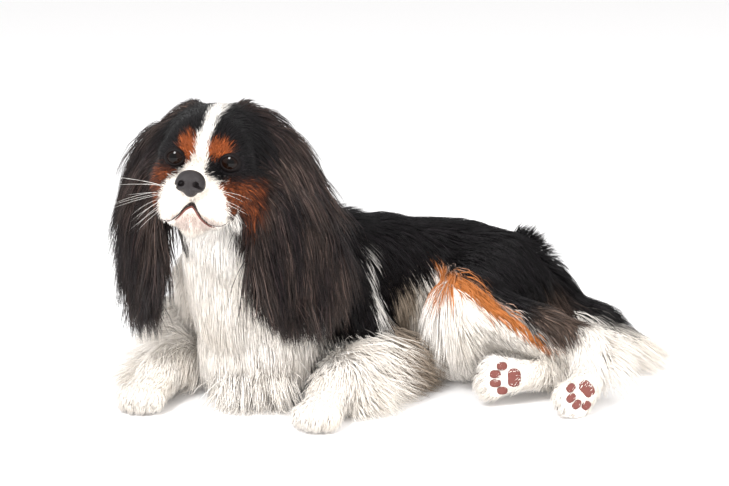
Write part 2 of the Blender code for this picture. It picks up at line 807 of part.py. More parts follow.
def lock_rows():
    """Rows of locks: node, first root, last root, how many, way, length, lift, width."""
    down = (0, 0, -1)
    rows = [
        ("neck", (-166, -50, 172), (-90, -60, 176), 5, (0.05, -0.3, -1), 40, 5, 17),
        ("chest", (-146, -62, 148), (-86, -72, 146), 5, (0.02, -0.25, -1), 70, 7, 17),
        ("chest", (-152, -52, 116), (-66, -62, 116), 6, (0.0, -0.3, -1), 66, 9, 17),
        ("chest", (-150, -40, 80), (-58, -54, 82), 7, (0.0, -0.45, -0.9), 58, 9, 17),
        ("chest", (-40, 0, 96), (0, 22, 86), 3, (0.35, -0.4, -0.9), 52, 6, 17),
        ("chest", (-4, 34, 62), (22, 48, 60), 3, (0.2, -0.5, -0.9), 50, 7, 17),
        ("loin", (36, 54, 66), (72, 62, 66), 4, (0.1, -0.5, -0.9), 52, 7, 17),
        ("foreleg_left", (28, 20, 44), (2, -38, 38), 5, (0.8, -0.3, -0.5), 50, 5, 17),
        ("foreleg_left", (30, 44, 26), (24, -26, 20), 5, (0.85, -0.1, -0.3), 48, 5, 17),
        ("foreleg_right", (-176, 20, 44), (-196, -20, 36), 4, (-0.8, -0.1, -0.5), 48, 5, 17),
        ("foreleg_right", (-196, 66, 24), (-208, -10, 20), 5, (-0.8, 0.05, -0.3), 44, 5, 17),
        ("shank_left", (128, 12, 84), (190, 10, 62), 5, (0.75, 0.1, -0.6), 46, 5, 16),
        ("rump", (150, 112, 96), (176, 110, 76), 4, (0.7, -0.4, -0.6), 44, 4, 16),
        ("tail", (196, 142, 66), (256, 102, 36), 5, (0.85, 0.15, -0.35), 58, 4, 17),
        ("tail", (206, 120, 66), (262, 84, 36), 5, (0.85, -0.45, -0.2), 62, 5, 17),
        ("tail", (196, 106, 44), (252, 72, 24), 6, (0.55, -0.8, -0.3), 66, 5, 18),
    ]
    return rows


def build_locks(rng):
    """Every lock on the flesh, in lists by node."""
    roots, ways, lengths, lifts, widths, nodes = [], [], [], [], [], []
    for node, first, last, count, way, length, lift, width in lock_rows():
        for k in range(count):
            t = k / (count - 1)
            jitter = rng.uniform(-5, 5, 3)
            roots.append(np.array(first) * (1 - t) + np.array(last) * t + jitter)
            ways.append(np.array(way) + rng.uniform(-0.14, 0.14, 3))
            lengths.append(length * rng.uniform(0.85, 1.15))
            lifts.append(lift * rng.uniform(0.5, 1.2))
            widths.append(width * rng.uniform(0.85, 1.15))
            nodes.append(node)
    paths = grown_paths(roots, ways, np.array(lengths), np.array(lifts), 0.25)
    outs = slope(paths[:, 2].copy())
    made = {}
    for path, out, width, node in zip(paths, outs, widths, nodes):
        made.setdefault(node, []).append(lock(path, width, 6.0, out))
    return made


def build_flesh(name, done, locks):
    kind = "paw" if "paw" in name else "leg" if name.split("_")[0] in ("foreleg", "shank", "thigh") else name
    cell, count = FINENESS[kind]
    shares = regions()
    make, size = shares[name]
    region = make("share", *size, 0.0)
    corners = np.array([v.co for v in region.data.vertices]) / MM
    low = np.maximum(corners.min(axis=0), (-330, -200, -12))
    high = np.minimum(corners.max(axis=0), (370, 260, 330))
    points, faces = surface(lambda places: whole(places, low, high), low, high, cell)
    white = kind == "paw" or "foreleg" in name or name == "chest"
    obj = add_object(name, points, faces, "white_coat" if white else "black_coat")
    thin_out(obj, 2 * count)
    if locks:
        fuse(obj, locks)
    combine_and_drop(obj, "INTERSECT", region)
    for other in done:
        make, size = shares[other]
        combine_and_drop(obj, "DIFFERENCE", make("cutter", *size, SEAM))
    return obj


def clear_scene():
    for obj in list(bpy.data.objects):
        bpy.data.objects.remove(obj)


def stand_on_origin():
    """Moves everything so that the middle of its footprint is at the origin."""
    parts = [obj for obj in bpy.data.objects if obj.type == "MESH"]
    corners = np.array([v.co for obj in parts for v in obj.data.vertices])
    middle = (corners.min(axis=0) + corners.max(axis=0)) / 2
    for obj in parts:
        obj.data.transform(Matrix.Translation((-middle[0], -middle[1], 0.0)))


BY_EARS = ("head", "neck", "chest", "foreleg_left", "foreleg_right")


def build():
    clear_scene()
    slab = floor_slab()
    rng = np.random.default_rng(5)
    features = build_eyes() + build_nose()
    nostrils(features[-1])
    for name in EARS:
        build_ear(name, rng)
    locks = build_locks(rng)
    done = []
    for name in regions():
        obj = build_flesh(name, done, locks.get(name, []))
        if name == "head":
            face_details(obj)
        cutters = feature_rooms() if name == "head" else []
        cutters += [ear_share(key, SHARE_MARGIN + SEAM) for key in EARS] if name in BY_EARS else []
        for cutter in cutters:
            combine_and_drop(obj, "DIFFERENCE", cutter)
        combine(obj, "DIFFERENCE", slab)
        largest_body(obj)
        done.append(name)
    remove(slab)
    stand_on_origin()


build()
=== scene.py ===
"""Looks of a tricolour long-eared toy spaniel that lies with its head raised.

Lengths in the tables are millimetres in the frame of the part's source, where X runs from the head
end to the tail and Z is up. place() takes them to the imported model's frame, in metres. One skin
carries the whole dog. The coat is solid tufts that grow from it along the lie of the hair.
"""

import functools
import math

import bpy
import numpy as np
from mathutils import Matrix, Vector, kdtree


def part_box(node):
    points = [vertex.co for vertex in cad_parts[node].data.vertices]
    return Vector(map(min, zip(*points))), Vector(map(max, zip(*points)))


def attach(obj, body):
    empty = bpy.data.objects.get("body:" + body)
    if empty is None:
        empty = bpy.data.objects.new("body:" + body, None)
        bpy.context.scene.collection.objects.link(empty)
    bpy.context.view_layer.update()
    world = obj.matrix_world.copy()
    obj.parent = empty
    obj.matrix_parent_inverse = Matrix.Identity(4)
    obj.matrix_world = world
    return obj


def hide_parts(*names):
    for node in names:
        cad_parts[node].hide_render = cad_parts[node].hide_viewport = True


bl_info = {
    "name": "Lying spaniel",
    "version": (1, 0, 0),
    "blender": (4, 5, 0),
    "location": "3D View > Sidebar > Spaniel",
    "description": "Skin, coat, face, paws and stage of a lying tricolour spaniel",
    "category": "Object",
}

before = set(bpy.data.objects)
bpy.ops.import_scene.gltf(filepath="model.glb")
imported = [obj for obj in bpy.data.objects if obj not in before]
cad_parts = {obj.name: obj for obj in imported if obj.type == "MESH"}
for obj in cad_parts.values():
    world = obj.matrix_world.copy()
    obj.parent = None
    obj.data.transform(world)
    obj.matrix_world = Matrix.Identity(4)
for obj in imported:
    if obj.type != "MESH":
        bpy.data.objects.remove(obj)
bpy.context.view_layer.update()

MM = 0.001

# The dog's own sides, as the head's frame counts them, with their names
SIDES = ((1, "left"), (-1, "right"))

# The head's own frame: between the eyes, X to the dog's right, Y to its nose, Z to its crown
HEAD_PLACE = np.array([-134.0, -100.0, 230.0])
HEAD_TURN = np.array(
    Matrix.Rotation(math.radians(169.5), 3, "Z")
    @ Matrix.Rotation(math.radians(-4.0), 3, "Y")
    @ Matrix.Rotation(math.radians(5.0), 3, "X")
)
EYE_SPACING = 47.0
EYE_RADIUS = 10.8
LID_RADIUS = EYE_RADIUS + 0.5
EYE_OPENING = (6.9, 5.4)
NOSE = (0, 35.5, -15)

# The mouth's line on the dog's left, as (left, up) on the face
MOUTH_HALF = [(0, -34), (4.5, -37), (9.5, -44), (17, -50.5), (26, -51), (31, -46)]

# The forelegs, as the part's source places them
SHOULDER_HEIGHT = 105.0
ELBOW_HEIGHT = 36.0
ELBOW_SPACING = 164.0
FOREARM = 112.0
FORE_HEADING = np.array([-0.33, -0.944, 0.0])
FORE_ACROSS = np.array([0.944, -0.33, 0.0])
ELBOW_CENTRE = np.array([-69.0, 52.0, 0.0])

# The hind legs
THIGH_TOP = np.array([122.0, 105.0, 80.0])
STIFLE = np.array([92.0, 18.0, 76.0])
HOCK = np.array([196.0, -18.0, 50.0])
LOW_THIGH_TOP = np.array([120.0, 132.0, 40.0])
LOW_STIFLE = np.array([86.0, 48.0, 30.0])
LOW_HOCK = np.array([178.0, 4.0, 20.0])

# The ears' leather, from the root to its tip, and the way to its front edge
EAR_PATHS = {
    "left": [(-98, -54, 243), (-76, -58, 226), (-63, -70, 184), (-60, -76, 142)],
    "right": [(-158, -44, 245), (-180, -40, 228), (-190, -46, 184), (-190, -51, 142)],
}
EAR_FRONTS = {"left": (-0.906, -0.425, 0.0), "right": (-0.66, 0.75, 0.0)}
EAR_WIDTHS = {"left": (13, 26, 38, 45), "right": (13, 20, 25, 27)}


def unit(vector):
    vector = np.asarray(vector, float)
    return vector / np.maximum(np.linalg.norm(vector, axis=-1, keepdims=True), 1e-9)


def on_head(left, front, up):
    """A place in the head's frame, with left as the dog's own left."""
    return HEAD_PLACE + HEAD_TURN @ np.array([-left, front, up], float)


def head_way(left, front, up):
    """A direction in the head's frame."""
    return unit(HEAD_TURN @ np.array([-left, front, up], float))


def in_head(points):
    """Places as (left, front, up) in the head's frame."""
    local = (points - HEAD_PLACE) @ HEAD_TURN
    return local * (-1.0, 1.0, 1.0)


def eye_place(side):
    return on_head(side * EYE_SPACING / 2, -5.0, 0)


def row_shift():
    """From the source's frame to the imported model's, both in millimetres."""
    low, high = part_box("eye_left")
    return (np.array(low) + np.array(high)) / 2 / MM - eye_place(1)


SHIFT = row_shift()


def place(points):
    """From millimetres in the source's frame to metres in the scene."""
    return (np.asarray(points, float) + SHIFT) * MM


# Round forms, as in the part's source but without the depth of the coat


def oval(centre, radii, turn=None):
    axes = np.eye(3) if turn is None else np.array(turn).T
    return ("oval", np.array(centre, float), np.array(radii, float), axes)


def cone(start, end, start_radius, end_radius):
    return ("cone", np.array(start, float), np.array(end, float), start_radius, end_radius)


def head_oval(left, front, up, radii):
    return oval(on_head(left, front, up), radii, HEAD_TURN)


def head_cone(start, end, start_radius, end_radius):
    return cone(on_head(*start), on_head(*end), start_radius, end_radius)


def distance(points, form):
    """Signed distance from a form's surface, negative inside."""
    if form[0] == "oval":
        _, centre, radii, axes = form
        local = (points - centre) @ axes.T
        near = np.linalg.norm(local / radii, axis=-1)
        slope = np.linalg.norm(local / radii**2, axis=-1)
        return near * (near - 1.0) / np.maximum(slope, 1e-6)
    _, start, end, start_radius, end_radius = form
    run = end - start
    along = np.clip((points - start) @ run / (run @ run), 0.0, 1.0)
    radius = start_radius + (end_radius - start_radius) * along
    return np.linalg.norm(points - start - along[..., None] * run, axis=-1) - radius


def smooth_least(first, second, blend):
    """The lesser of two fields, rounded where they cross."""
    mix = np.clip(0.5 + 0.5 * (second - first) / blend, 0.0, 1.0)
    return second + (first - second) * mix - blend * mix * (1.0 - mix)


def paired(make):
    return [make(side) for side, _ in SIDES]


def elbow(side):
    return ELBOW_CENTRE + FORE_ACROSS * (side * ELBOW_SPACING / 2) + (0, 0, ELBOW_HEIGHT)


def shoulder(side):
    return np.array([-86, 12, SHOULDER_HEIGHT]) + FORE_ACROSS * (side * ELBOW_SPACING * 0.32)


def wrist(side):
    return elbow(side) + FORE_HEADING * FOREARM + (0, 0, 24 - ELBOW_HEIGHT)


def paw_turn(toe, sole):
    """Axes of a paw: its width, its length out to the toes, and up from its sole."""
    length = unit(toe)
    up = unit(-np.array(sole, float))
    up = unit(up - length * (up @ length))
    return np.stack([np.cross(length, up), length, up], axis=1)


def toe_places(size):
    """Where a paw's four toes lie across it, and how far out each reaches."""
    return [(spot * size * 0.45, size * (0.95 - 0.16 * abs(spot) ** 1.5)) for spot in (-1.5, -0.5, 0.5, 1.5)]


def paw_forms(centre, toe, sole, size):
    """A paw's middle and its toes."""
    turn = paw_turn(toe, sole)
    forms = [oval(centre, (size * 0.78, size * 0.95, size * 0.58), turn)]
    for across, reach in toe_places(size):
        out = turn @ (across, reach, -size * 0.12)
        forms.append(oval(centre + out, (size * 0.27, size * 0.44, size * 0.38), turn))
    return forms


PAWS = {
    "fore_left": (wrist(1) + FORE_HEADING * 20 + (0, 0, -9), FORE_HEADING, (0, 0, -1), 21),
    "fore_right": (wrist(-1) + FORE_HEADING * 20 + (0, 0, -9), FORE_HEADING, (0, 0, -1), 21),
    "hind_left": (np.array([188, -66, 20.0]), (-0.72, -0.35, -0.60), (0.10, -0.97, 0.2), 18),
    "hind_right": (np.array([126, -38, 26.0]), (-0.98, -0.18, 0.0), (-0.16, -0.98, 0.1), 19),
}


def ear_forms(side):
    path = np.array(EAR_PATHS[side], float)
    front = unit(EAR_FRONTS[side])
    forms = []
    last = 6
    for k in range(last + 1):
        s = k / last * (len(path) - 1)
        j = min(int(s), len(path) - 2)
        centre = path[j] + (path[j + 1] - path[j]) * (s - j)
        down = unit(path[j + 1] - path[j])
        out = unit(np.cross(down, front))
        width = np.interp(s, range(len(path)), EAR_WIDTHS[side])
        forms.append(oval(centre, (width, 6.0, 24.0), np.stack([front, out, down], axis=1)))
    return forms


def flesh():
    """The part's own forms, less the depth of the coat over each."""
    forms = {
        "neck": [
            cone((-122, -40, 206), (-88, 16, 138), 39, 51),
            cone((-129, -61, 172), (-114, -38, 112), 26, 33),
        ],
        "chest": [
            oval((-90, -12, 84), (48, 47, 58)),
            oval((-54, 56, 86), (64, 64, 68)),
            cone((-54, 56, 84), (6, 98, 82), 64, 60),
            oval((-98, -18, 60), (42, 28, 54)),
        ],
        "loin": [cone((24, 108, 80), (84, 128, 76), 58, 56), oval((60, 100, 44), (44, 34, 40))],
        "rump": [
            cone((108, 134, 70), (150, 140, 60), 51, 40),
            oval((170, 140, 50), (29, 31, 31)),
        ],
        "tail": [
            cone((176, 138, 56), (214, 118, 38), 15, 12),
            cone((214, 118, 38), (252, 88, 22), 12, 7),
        ],
        "thigh_left": [cone(THIGH_TOP, STIFLE, 46, 28)],
        "shank_left": [cone(STIFLE, HOCK, 26, 13)],
        "hindpaw_left": [cone(HOCK, (196, -56, 28), 12, 11)] + paw_forms(*PAWS["hind_left"]),
        "thigh_right": [cone(LOW_THIGH_TOP, LOW_STIFLE, 40, 26)],
        "shank_right": [cone(LOW_STIFLE, LOW_HOCK, 24, 14)],
        "hindpaw_right": [cone(LOW_HOCK, (142, -30, 25), 11, 11)] + paw_forms(*PAWS["hind_right"]),
    }
    for side, name in SIDES:
        forms["foreleg_" + name] = [
            cone(shoulder(side), elbow(side), 29, 23),
            cone(elbow(side), wrist(side), 21, 15),
        ]
        forms["forepaw_" + name] = paw_forms(*PAWS["fore_" + name])
        forms["ear_" + name] = ear_forms(name)
    forms["head"] = [
        head_oval(0, -46, 11, (42, 48, 32.5)),
        head_oval(0, -14, 8, (34, 19, 28)),
        head_cone((0, -4, -13), (0, 22, -16), 17.5, 11.5),
        head_cone((0, -14, -43), (0, 20, -49), 16.5, 11.5),
        *paired(lambda side: head_oval(side * 24.5, -24, -22, (21.5, 30.5, 28))),
        *paired(lambda side: head_oval(side * 25.5, -10, 1, (13.4, 13.4, 14.2))),
        *paired(lambda side: head_oval(side * 17, 16, -34.5, (17.5, 18.5, 19))),
    ]
    return forms


HOLLOWS = paired(lambda side: head_oval(side * EYE_SPACING / 2, 8.5, 0, (8.4, 12, 6.9)))


def net(value, low, cell):
    """Corners and quads of the surface where a field on a grid crosses zero."""
    inside = value < 0
    cells = np.array(value.shape) - 1
    total = np.zeros((*cells, 3))
    count = np.zeros(cells)
    step = np.eye(3, dtype=int)

    def corner(at):
        return value[tuple(slice(a, a + n) for a, n in zip(at, cells))]

    for first in np.ndindex(2, 2, 2):
        for axis in range(3):
            if first[axis]:
                continue
            a, b = corner(first), corner(first + step[axis])
            cross = (a < 0) != (b < 0)
            part = np.where(cross, a / np.where(cross, a - b, 1.0), 0.0)
            total += np.where(cross[..., None], first + part[..., None] * step[axis], 0.0)
            count += cross
    active = count > 0
    index = np.full(cells, -1)
    index[active] = np.arange(active.sum())
    spots = np.argwhere(active) + total[active] / count[active][:, None]
    quads = []
    for axis in range(3):
        one, two = (axis + 1) % 3, (axis + 2) % 3
        start = np.argwhere(np.diff(inside, axis=axis))
        ring = [start - step[one] - step[two], start - step[two], start, start - step[one]]
        quad = np.stack([index[tuple(r.T)] for r in ring], axis=1)
        flip = value[tuple(start.T)] > 0
        quad[flip] = quad[flip][:, ::-1]
        quads.append(quad)
    return spots * cell + low, np.concatenate(quads)


class Body:
    """The skin's distance field on a grid, to grow the skin from and to lay the hair over."""

    # How widely forms run into one another: flesh, the head, paws and ears, and the eye hollows
    BLEND = 13.0
    FINE_BLEND = 5.0
    HOLLOW_BLEND = 3.0
    # The field's value away from the dog, and how far past its own size a form is worked out
    FAR = 60.0
    REACH = 40
    # Cells along each side of the blocks that are worked out together
    BLOCK = 16
    # The skin stops this far above the floor
    FLOOR_GAP = 1.0
    # Start, end and step of the search for the face, along the head's front
    FACE_SEARCH = (62.0, -40.0, -0.4)
    LOW = np.array([-262.0, -175.0, -18.0])
    HIGH = np.array([296.0, 220.0, 300.0])

    def __init__(self, cell):
        self.cell = cell
        self.forms = flesh()
        self.size = np.ceil((self.HIGH - self.LOW) / cell).astype(int) + 1
        self.value = np.full(self.size, self.FAR)
        for start in np.ndindex(*-(-self.size // self.BLOCK)):
            first = np.array(start) * self.BLOCK
            last = np.minimum(first + self.BLOCK, self.size)
            low, high = self.LOW + first * cell, self.LOW + last * cell
            axes = [np.arange(a, b) for a, b in zip(first, last)]
            grid = np.stack(np.meshgrid(*axes, indexing="ij"), axis=-1) * cell + self.LOW
            block = tuple(slice(a, b) for a, b in zip(first, last))
            self.value[block] = self.whole(grid, low, high)
        # The floor flattens what lies on it
        height = np.arange(self.size[2]) * cell + self.LOW[2]
        self.value = np.maximum(self.value, self.FLOOR_GAP - height)
        self.slope = np.stack(np.gradient(self.value, cell), axis=-1).astype(np.float32)

    def whole(self, points, low, high):
        """The field over the box from low to high."""
        total = np.full(points.shape[:-1], self.FAR)
        for name, forms in self.forms.items():
            fine = name == "head" or "paw" in name or "ear" in name
            part = None
            for form in forms:
                centres = [form[1]] if form[0] == "oval" else [form[1], form[2]]
                size = max(form[2]) if form[0] == "oval" else max(form[3], form[4])
                near = np.min(centres, axis=0) - size - self.REACH
                far = np.max(centres, axis=0) + size + self.REACH
                if (near < high).all() and (far > low).all():
                    part = np.full(points.shape[:-1], 1e3) if part is None else part
                    blend = self.FINE_BLEND if fine else self.BLEND
                    part = smooth_least(part, distance(points, form), blend)
            if part is not None:
                total = smooth_least(total, part, self.FINE_BLEND if "ear" in name else self.BLEND)
        for form in HOLLOWS:
            total = -smooth_least(-total, distance(points, form), self.HOLLOW_BLEND)
        return total

    def sample(self, points):
        """Distance from the skin, and the way out of it, at places near the dog."""
        place = np.clip((points - self.LOW) / self.cell, 0, self.size - 1.001)
        base = place.astype(int)
        part = place - base
        value = np.zeros(len(points))
        slope = np.zeros((len(points), 3))
        for corner in np.ndindex(2, 2, 2):
            weight = np.prod(np.where(corner, part, 1 - part), axis=1)
            spot = tuple((base + corner).T)
            value += weight * self.value[spot]
            slope += weight[:, None] * self.slope[spot]
        return value, unit(slope)

    def onto_face(self, left, up, lift):
        """The place on the face that lies straight behind (left, up), this far off the skin."""
        places = np.array([on_head(left, front, up) for front in np.arange(*self.FACE_SEARCH)])
        value, _ = self.sample(places)
        return places[np.argmax(value < lift)]


@functools.cache
def grown_body(cell):
    return Body(cell)


def body_now():
    """The dog's body at the grain that the scene's settings give."""
    return grown_body(round(bpy.context.scene.spaniel_skin.grain / MM, 3))


# Colours


def linear(code):
    """An sRGB hex colour as linear red, green and blue."""
    values = [int(code[k : k + 2], 16) / 255 for k in (1, 3, 5)]
    return [v / 12.92 if v <= 0.04045 else ((v + 0.055) / 1.055) ** 2.4 for v in values]


def waver(points, size, seed=0.0):
    """Soft noise from -1 to 1, for the edges of markings."""
    p = points / size + seed
    x, y, z = p[..., 0], p[..., 1], p[..., 2]
    total = np.sin(x * 1.7 + 2 * np.sin(y * 1.3 + seed)) + np.sin(y * 2.1 + 2 * np.sin(z * 1.1))
    total += np.sin(z * 1.9 + 2 * np.sin(x * 0.9 + 1.0)) + 0.5 * np.sin((x + y + z) * 3.3)
    return total / 3.5


def edge(value, soft):
    """From 0 to 1 as a value goes from -soft to soft."""
    t = np.clip(0.5 + 0.5 * value / soft, 0, 1)
    return t * t * (3 - 2 * t)


def patch(points, centre, radii, soft=0.3):
    """1 inside a soft oval patch, 0 outside it."""
    near = np.linalg.norm((points - np.array(centre)) / np.array(radii), axis=-1)
    return edge(1 - near, soft)


class Markings:
    """The coat's colours at any place on the dog."""

    # How much higher a place looks for each millimetre that it lies farther back
    VIEW_SLOPE = 0.2126

    def __init__(self, settings):
        names = ("black", "ear_brown", "grey_brown", "sandy", "tan", "pale_tan", "white", "cream", "lip")
        self.hues = {name: np.array(getattr(settings, name)[:]) for name in names}

    def plain(self, name, points):
        """One colour at every place."""
        return np.tile(self.hues[name], (len(points), 1))

    def mix(self, colour, other, share):
        return colour + (self.hues[other] - colour) * np.clip(share, 0, 1)[..., None]

    def head(self, points):
        """White blaze and muzzle, tan brows and cheeks, black crown and eye rims."""
        left, front, up = in_head(points).T
        face = np.stack([left, up], -1)
        side = np.abs(left)
        rough = waver(points, 5.0)
        fine = waver(points, 2.4, 1.0)
        colour = self.plain("black", points)
        brow = np.maximum(patch(face, (12.5, 8.5), (10.5, 7.5)), patch(face, (-12, 8), (8, 11)))
        brow = brow * edge(front + 16, 6)
        cheek = np.maximum(patch(face, (38, -26), (14, 15), 0.4), patch(face, (-35, -24), (10, 18), 0.4))
        cheek = cheek * edge(front + 34, 12) * (0.5 + 0.55 * fine)
        below = np.maximum(patch(face, (29, -20), (10, 10)), patch(face, (-28, -12), (7, 7)))
        below = below * edge(front + 12, 8) * (0.6 + 0.5 * fine)
        colour = self.mix(colour, "tan", np.maximum(np.maximum(0.92 * brow, cheek), below))
        rim = np.maximum(patch(face, (29, -5), (15, 12)), patch(face, (-25, -1), (11, 9)))
        colour = self.mix(colour, "black", 0.9 * rim * edge(front + 14, 4))
        # The blaze, a little to the dog's left on the crown
        middle = np.interp(up, (-10, 10, 30, 45), (-0.5, -0.3, 2.6, 1.0))
        on_left = np.interp(up, (-60, -42, -34, -25, -16, -9, -3, 2, 12, 25, 48),
                            (32, 30.5, 30.5, 27, 18, 9, 5.8, 4.2, 4.2, 4.6, 4.8))
        on_right = np.interp(up, (-60, -30, -23, -18, -12, -5.5, 0, 4, 12, 25, 48),
                             (26, 25.5, 24.5, 22, 17, 12, 6.2, 4.4, 4.2, 4.6, 4.8))
        half = np.where(left > middle, on_left, on_right)
        half = half + np.where(front < -45, (-45 - front) * -0.12, 0)
        blaze = edge(half - np.abs(left - middle) + 0.9 * rough, 1.4) * edge(front + 78, 8)
        colour = self.mix(colour, "white", blaze * edge(front - np.interp(up, (-45, -5), (-12, -60)), 6))
        # Painted shade: the white muzzle is tinted towards cream, which darkens it a little
        muzzle = edge(front - 2, 5) * edge(10 - up, 8)
        colour = self.mix(colour, "cream", 0.45 * muzzle * blaze)
        throat = edge(-48 - up + 4 * rough, 5)
        colour = self.mix(colour, "white", throat * edge(31 - side, 5))
        # The chin is cream, and pink shows through at the lower lip
        chin = patch(face, (0, -57), (22, 8)) * edge(front - 6, 6)
        colour = self.mix(colour, "cream", 0.5 * chin)
        mouth = patch(face, (3, -47), (20, 6)) * edge(front - 12, 6)
        return self.mix(colour, "lip", 0.5 * mouth)

    def body(self, points):
        """A black back and shoulders, a tan stripe on the thigh, white under and in front."""
        x, y, z = points.T
        rough = waver(points, 11.0)
        colour = self.mix(self.plain("white", points), "cream", 0.22 + 0.3 * waver(points, 23.0, 4.0))
        # Height as the photograph sees it, which takes in how far back a place lies
        height = z + self.VIEW_SLOPE * np.minimum(y, 60.0)
        # Sandy hair behind the elbow
        lock = edge(x - 8, 6) * edge(44 + 4 * rough - x, 10) * edge(z - 10, 8) * edge(118 - y, 14)
        colour = self.mix(colour, "sandy", 0.85 * lock)
        # Height of the line where the black starts, from the breast to the tail
        stripe_line = np.interp(x, (60, 68, 85, 103, 120, 138, 156), (121, 114, 100, 88, 75, 62, 51))
        line = np.interp(x, (-140, -100, -60, -40, -13, 9, 15, 22, 40, 55, 64),
                         (150, 120, 84, 64, 60, 58, 74, 100, 112, 118, 122))
        line = np.where(x > 64, stripe_line + 6, line)
        line = np.where(x > 156, np.interp(x, (156, 185, 205, 300), (57, 56, 80, 110)), line)
        line = line - edge(y - np.interp(x, (-100, 0, 100), (80, 125, 150)), 10) * 12
        black = edge(height - line + 3 * rough, 4)
        # The bib and the inner side of the forelegs stay white
        ahead = (points - ELBOW_CENTRE) @ FORE_HEADING
        across = (points - ELBOW_CENTRE) @ FORE_ACROSS
        front = np.interp(z, (0, 50, 70, 130, 200), (-10, 22, 50, 62, 66))
        front = front + 0.9 * np.maximum(np.abs(across) - 34, 0)
        black = black * (1 - edge(ahead - front, 8))
        colour = self.mix(colour, "black", black)
        # A thin white streak behind the shoulder
        streak = edge(1.8 - np.abs(x - np.interp(z, (60, 125), (13, -3)) + 2 * rough), 1.2)
        streak = streak * edge(z - 62, 8) * edge(128 - z, 8) * edge(60 - y, 8)
        colour = self.mix(colour, "white", 0.8 * streak)
        width = np.interp(x, (60, 90, 130, 168), (5, 8, 6, 2.5))
        stripe = edge(width - np.abs(height - stripe_line + 1.2 * rough), 2)
        stripe = stripe * edge(x - 58, 5) * edge(168 - x, 8) * edge(88 - y, 10)
        colour = self.mix(colour, "pale_tan", stripe)
        swirl = patch(np.stack([x, height], -1), (170, 74), (24, 24), 0.4) * edge(110 - y, 12)
        return self.mix(colour, "grey_brown", 0.85 * swirl * (0.8 + 0.3 * rough))

    def tail(self, points):
        """Black above, with a white plume under it and at its tip."""
        x, _, z = points.T
        rough = waver(points, 9.0)
        colour = self.mix(self.plain("white", points), "cream", 0.25 + 0.25 * rough)
        line = np.interp(x, (180, 214, 240, 262), (56, 43, 37, 50))
        return self.mix(colour, "black", edge(z - line + 4 * rough, 5))

    def ears(self, points):
        # Lighter and darker down the length of the locks
        share = 0.12 + 0.22 * waver(points * (1, 1, 0.15), 6.0, 2.0)
        return self.mix(self.plain("ear_brown", points), "grey_brown", share)

    def at(self, points):
        """The head's, body's or tail's colours, and the ears' where one is near."""
        local = in_head(points)
        on = np.linalg.norm(local * (1, 0.85, 1) - (0, -18, -4), axis=1) < 66
        on |= (local[:, 1] > -30) & (local[:, 2] > -62)
        colour = np.where(on[:, None], self.head(points), self.body(points))
        tail = (points[:, 0] > 190) & (points[:, 1] > 60)
        colour = np.where(tail[:, None], self.tail(points), colour)
        for _, side in SIDES:
            near = np.min([distance(points, form) for form in ear_forms(side)], axis=0)
            ear = edge(7 - near, 3)[:, None]
            colour = colour * (1 - ear) + self.ears(points) * ear
        return colour


# The lie of the coat


STYLES = {
    # Length, stand-off, gravity, half width, tufts in a square centimetre, wave, clumping, scatter, cling
    "muzzle": (4.6, 0.6, 0.0, 0.30, 95, 0.0, 0.1, 0.10, 0.0),
    "face": (8.0, 1.1, 0.0, 0.32, 78, 0.0, 0.2, 0.10, 0.0),
    "skull": (14.0, 1.3, 0.1, 0.38, 45, 0.3, 0.3, 0.06, 0.6),
    "cheek": (15.0, 2.0, 0.15, 0.38, 45, 0.4, 0.35, 0.12, 0.1),
    "withers": (34.0, 9.0, 0.1, 0.58, 15.8, 1.0, 0.4, 0.08, 0.0),
    "neck": (36.0, 5.0, 0.3, 0.60, 14.9, 1.5, 0.45, 0.10, 0.2),
    "back": (24.0, 2.0, 0.15, 0.49, 20.2, 0.5, 0.3, 0.05, 0.4),
    "side": (31.0, 2.6, 0.3, 0.51, 18.6, 1.0, 0.35, 0.07, 0.3),
    "bib": (58.0, 4.5, 0.4, 0.46, 23, 2.5, 0.35, 0.06, 0.2),
    "ear": (64.0, 5.0, 0.2, 0.43, 36, 2.8, 0.5, 0.06, 0.1),
    "ear_root": (46.0, 3.6, 0.5, 0.44, 34, 1.5, 0.45, 0.05, 0.2),
    "fringe": (58.0, 5.0, 0.5, 0.41, 28, 3.0, 0.5, 0.08, 0.1),
    "leg": (20.0, 3.0, 0.25, 0.53, 25, 0.8, 0.35, 0.20, 0.1),
    "feather": (56.0, 7.0, 0.14, 0.45, 25, 3.5, 0.4, 0.24, 0.0),
    "paw": (13.0, 2.0, 0.2, 0.40, 46, 0.2, 0.35, 0.18, 0.1),
    "toe": (16.0, 2.4, 0.45, 0.40, 45, 0.4, 0.45, 0.20, 0.0),
    "sole": (9.0, 1.6, 0.0, 0.39, 42, 0.0, 0.3, 0.35, 0.0),
    "trousers": (38.0, 5.0, 0.3, 0.58, 16.1, 2.0, 0.5, 0.10, 0.1),
    "ruff": (24.0, 10.0, 0.0, 0.48, 21, 1.0, 0.6, 0.35, 0.0),
    "tail": (44.0, 5.0, 0.15, 0.42, 37, 2.5, 0.5, 0.12, 0.1),
    "plume": (80.0, 10.0, 0.14, 0.40, 48, 5.0, 0.45, 0.22, 0.0),
    "underside": (20.0, 4.0, 0.4, 0.8, 4, 0.5, 0.3, 0.20, 0.0),
}
LENGTH, STAND, GRAVITY, WIDTH, DENSITY, WAVE, CLUMP, SCATTER, CLING = range(9)


def rows_of(table):
    """Rows of guides from a table, with each way made one long."""
    return [(np.array(spot, float), unit(way), style) for spot, way, style in table]


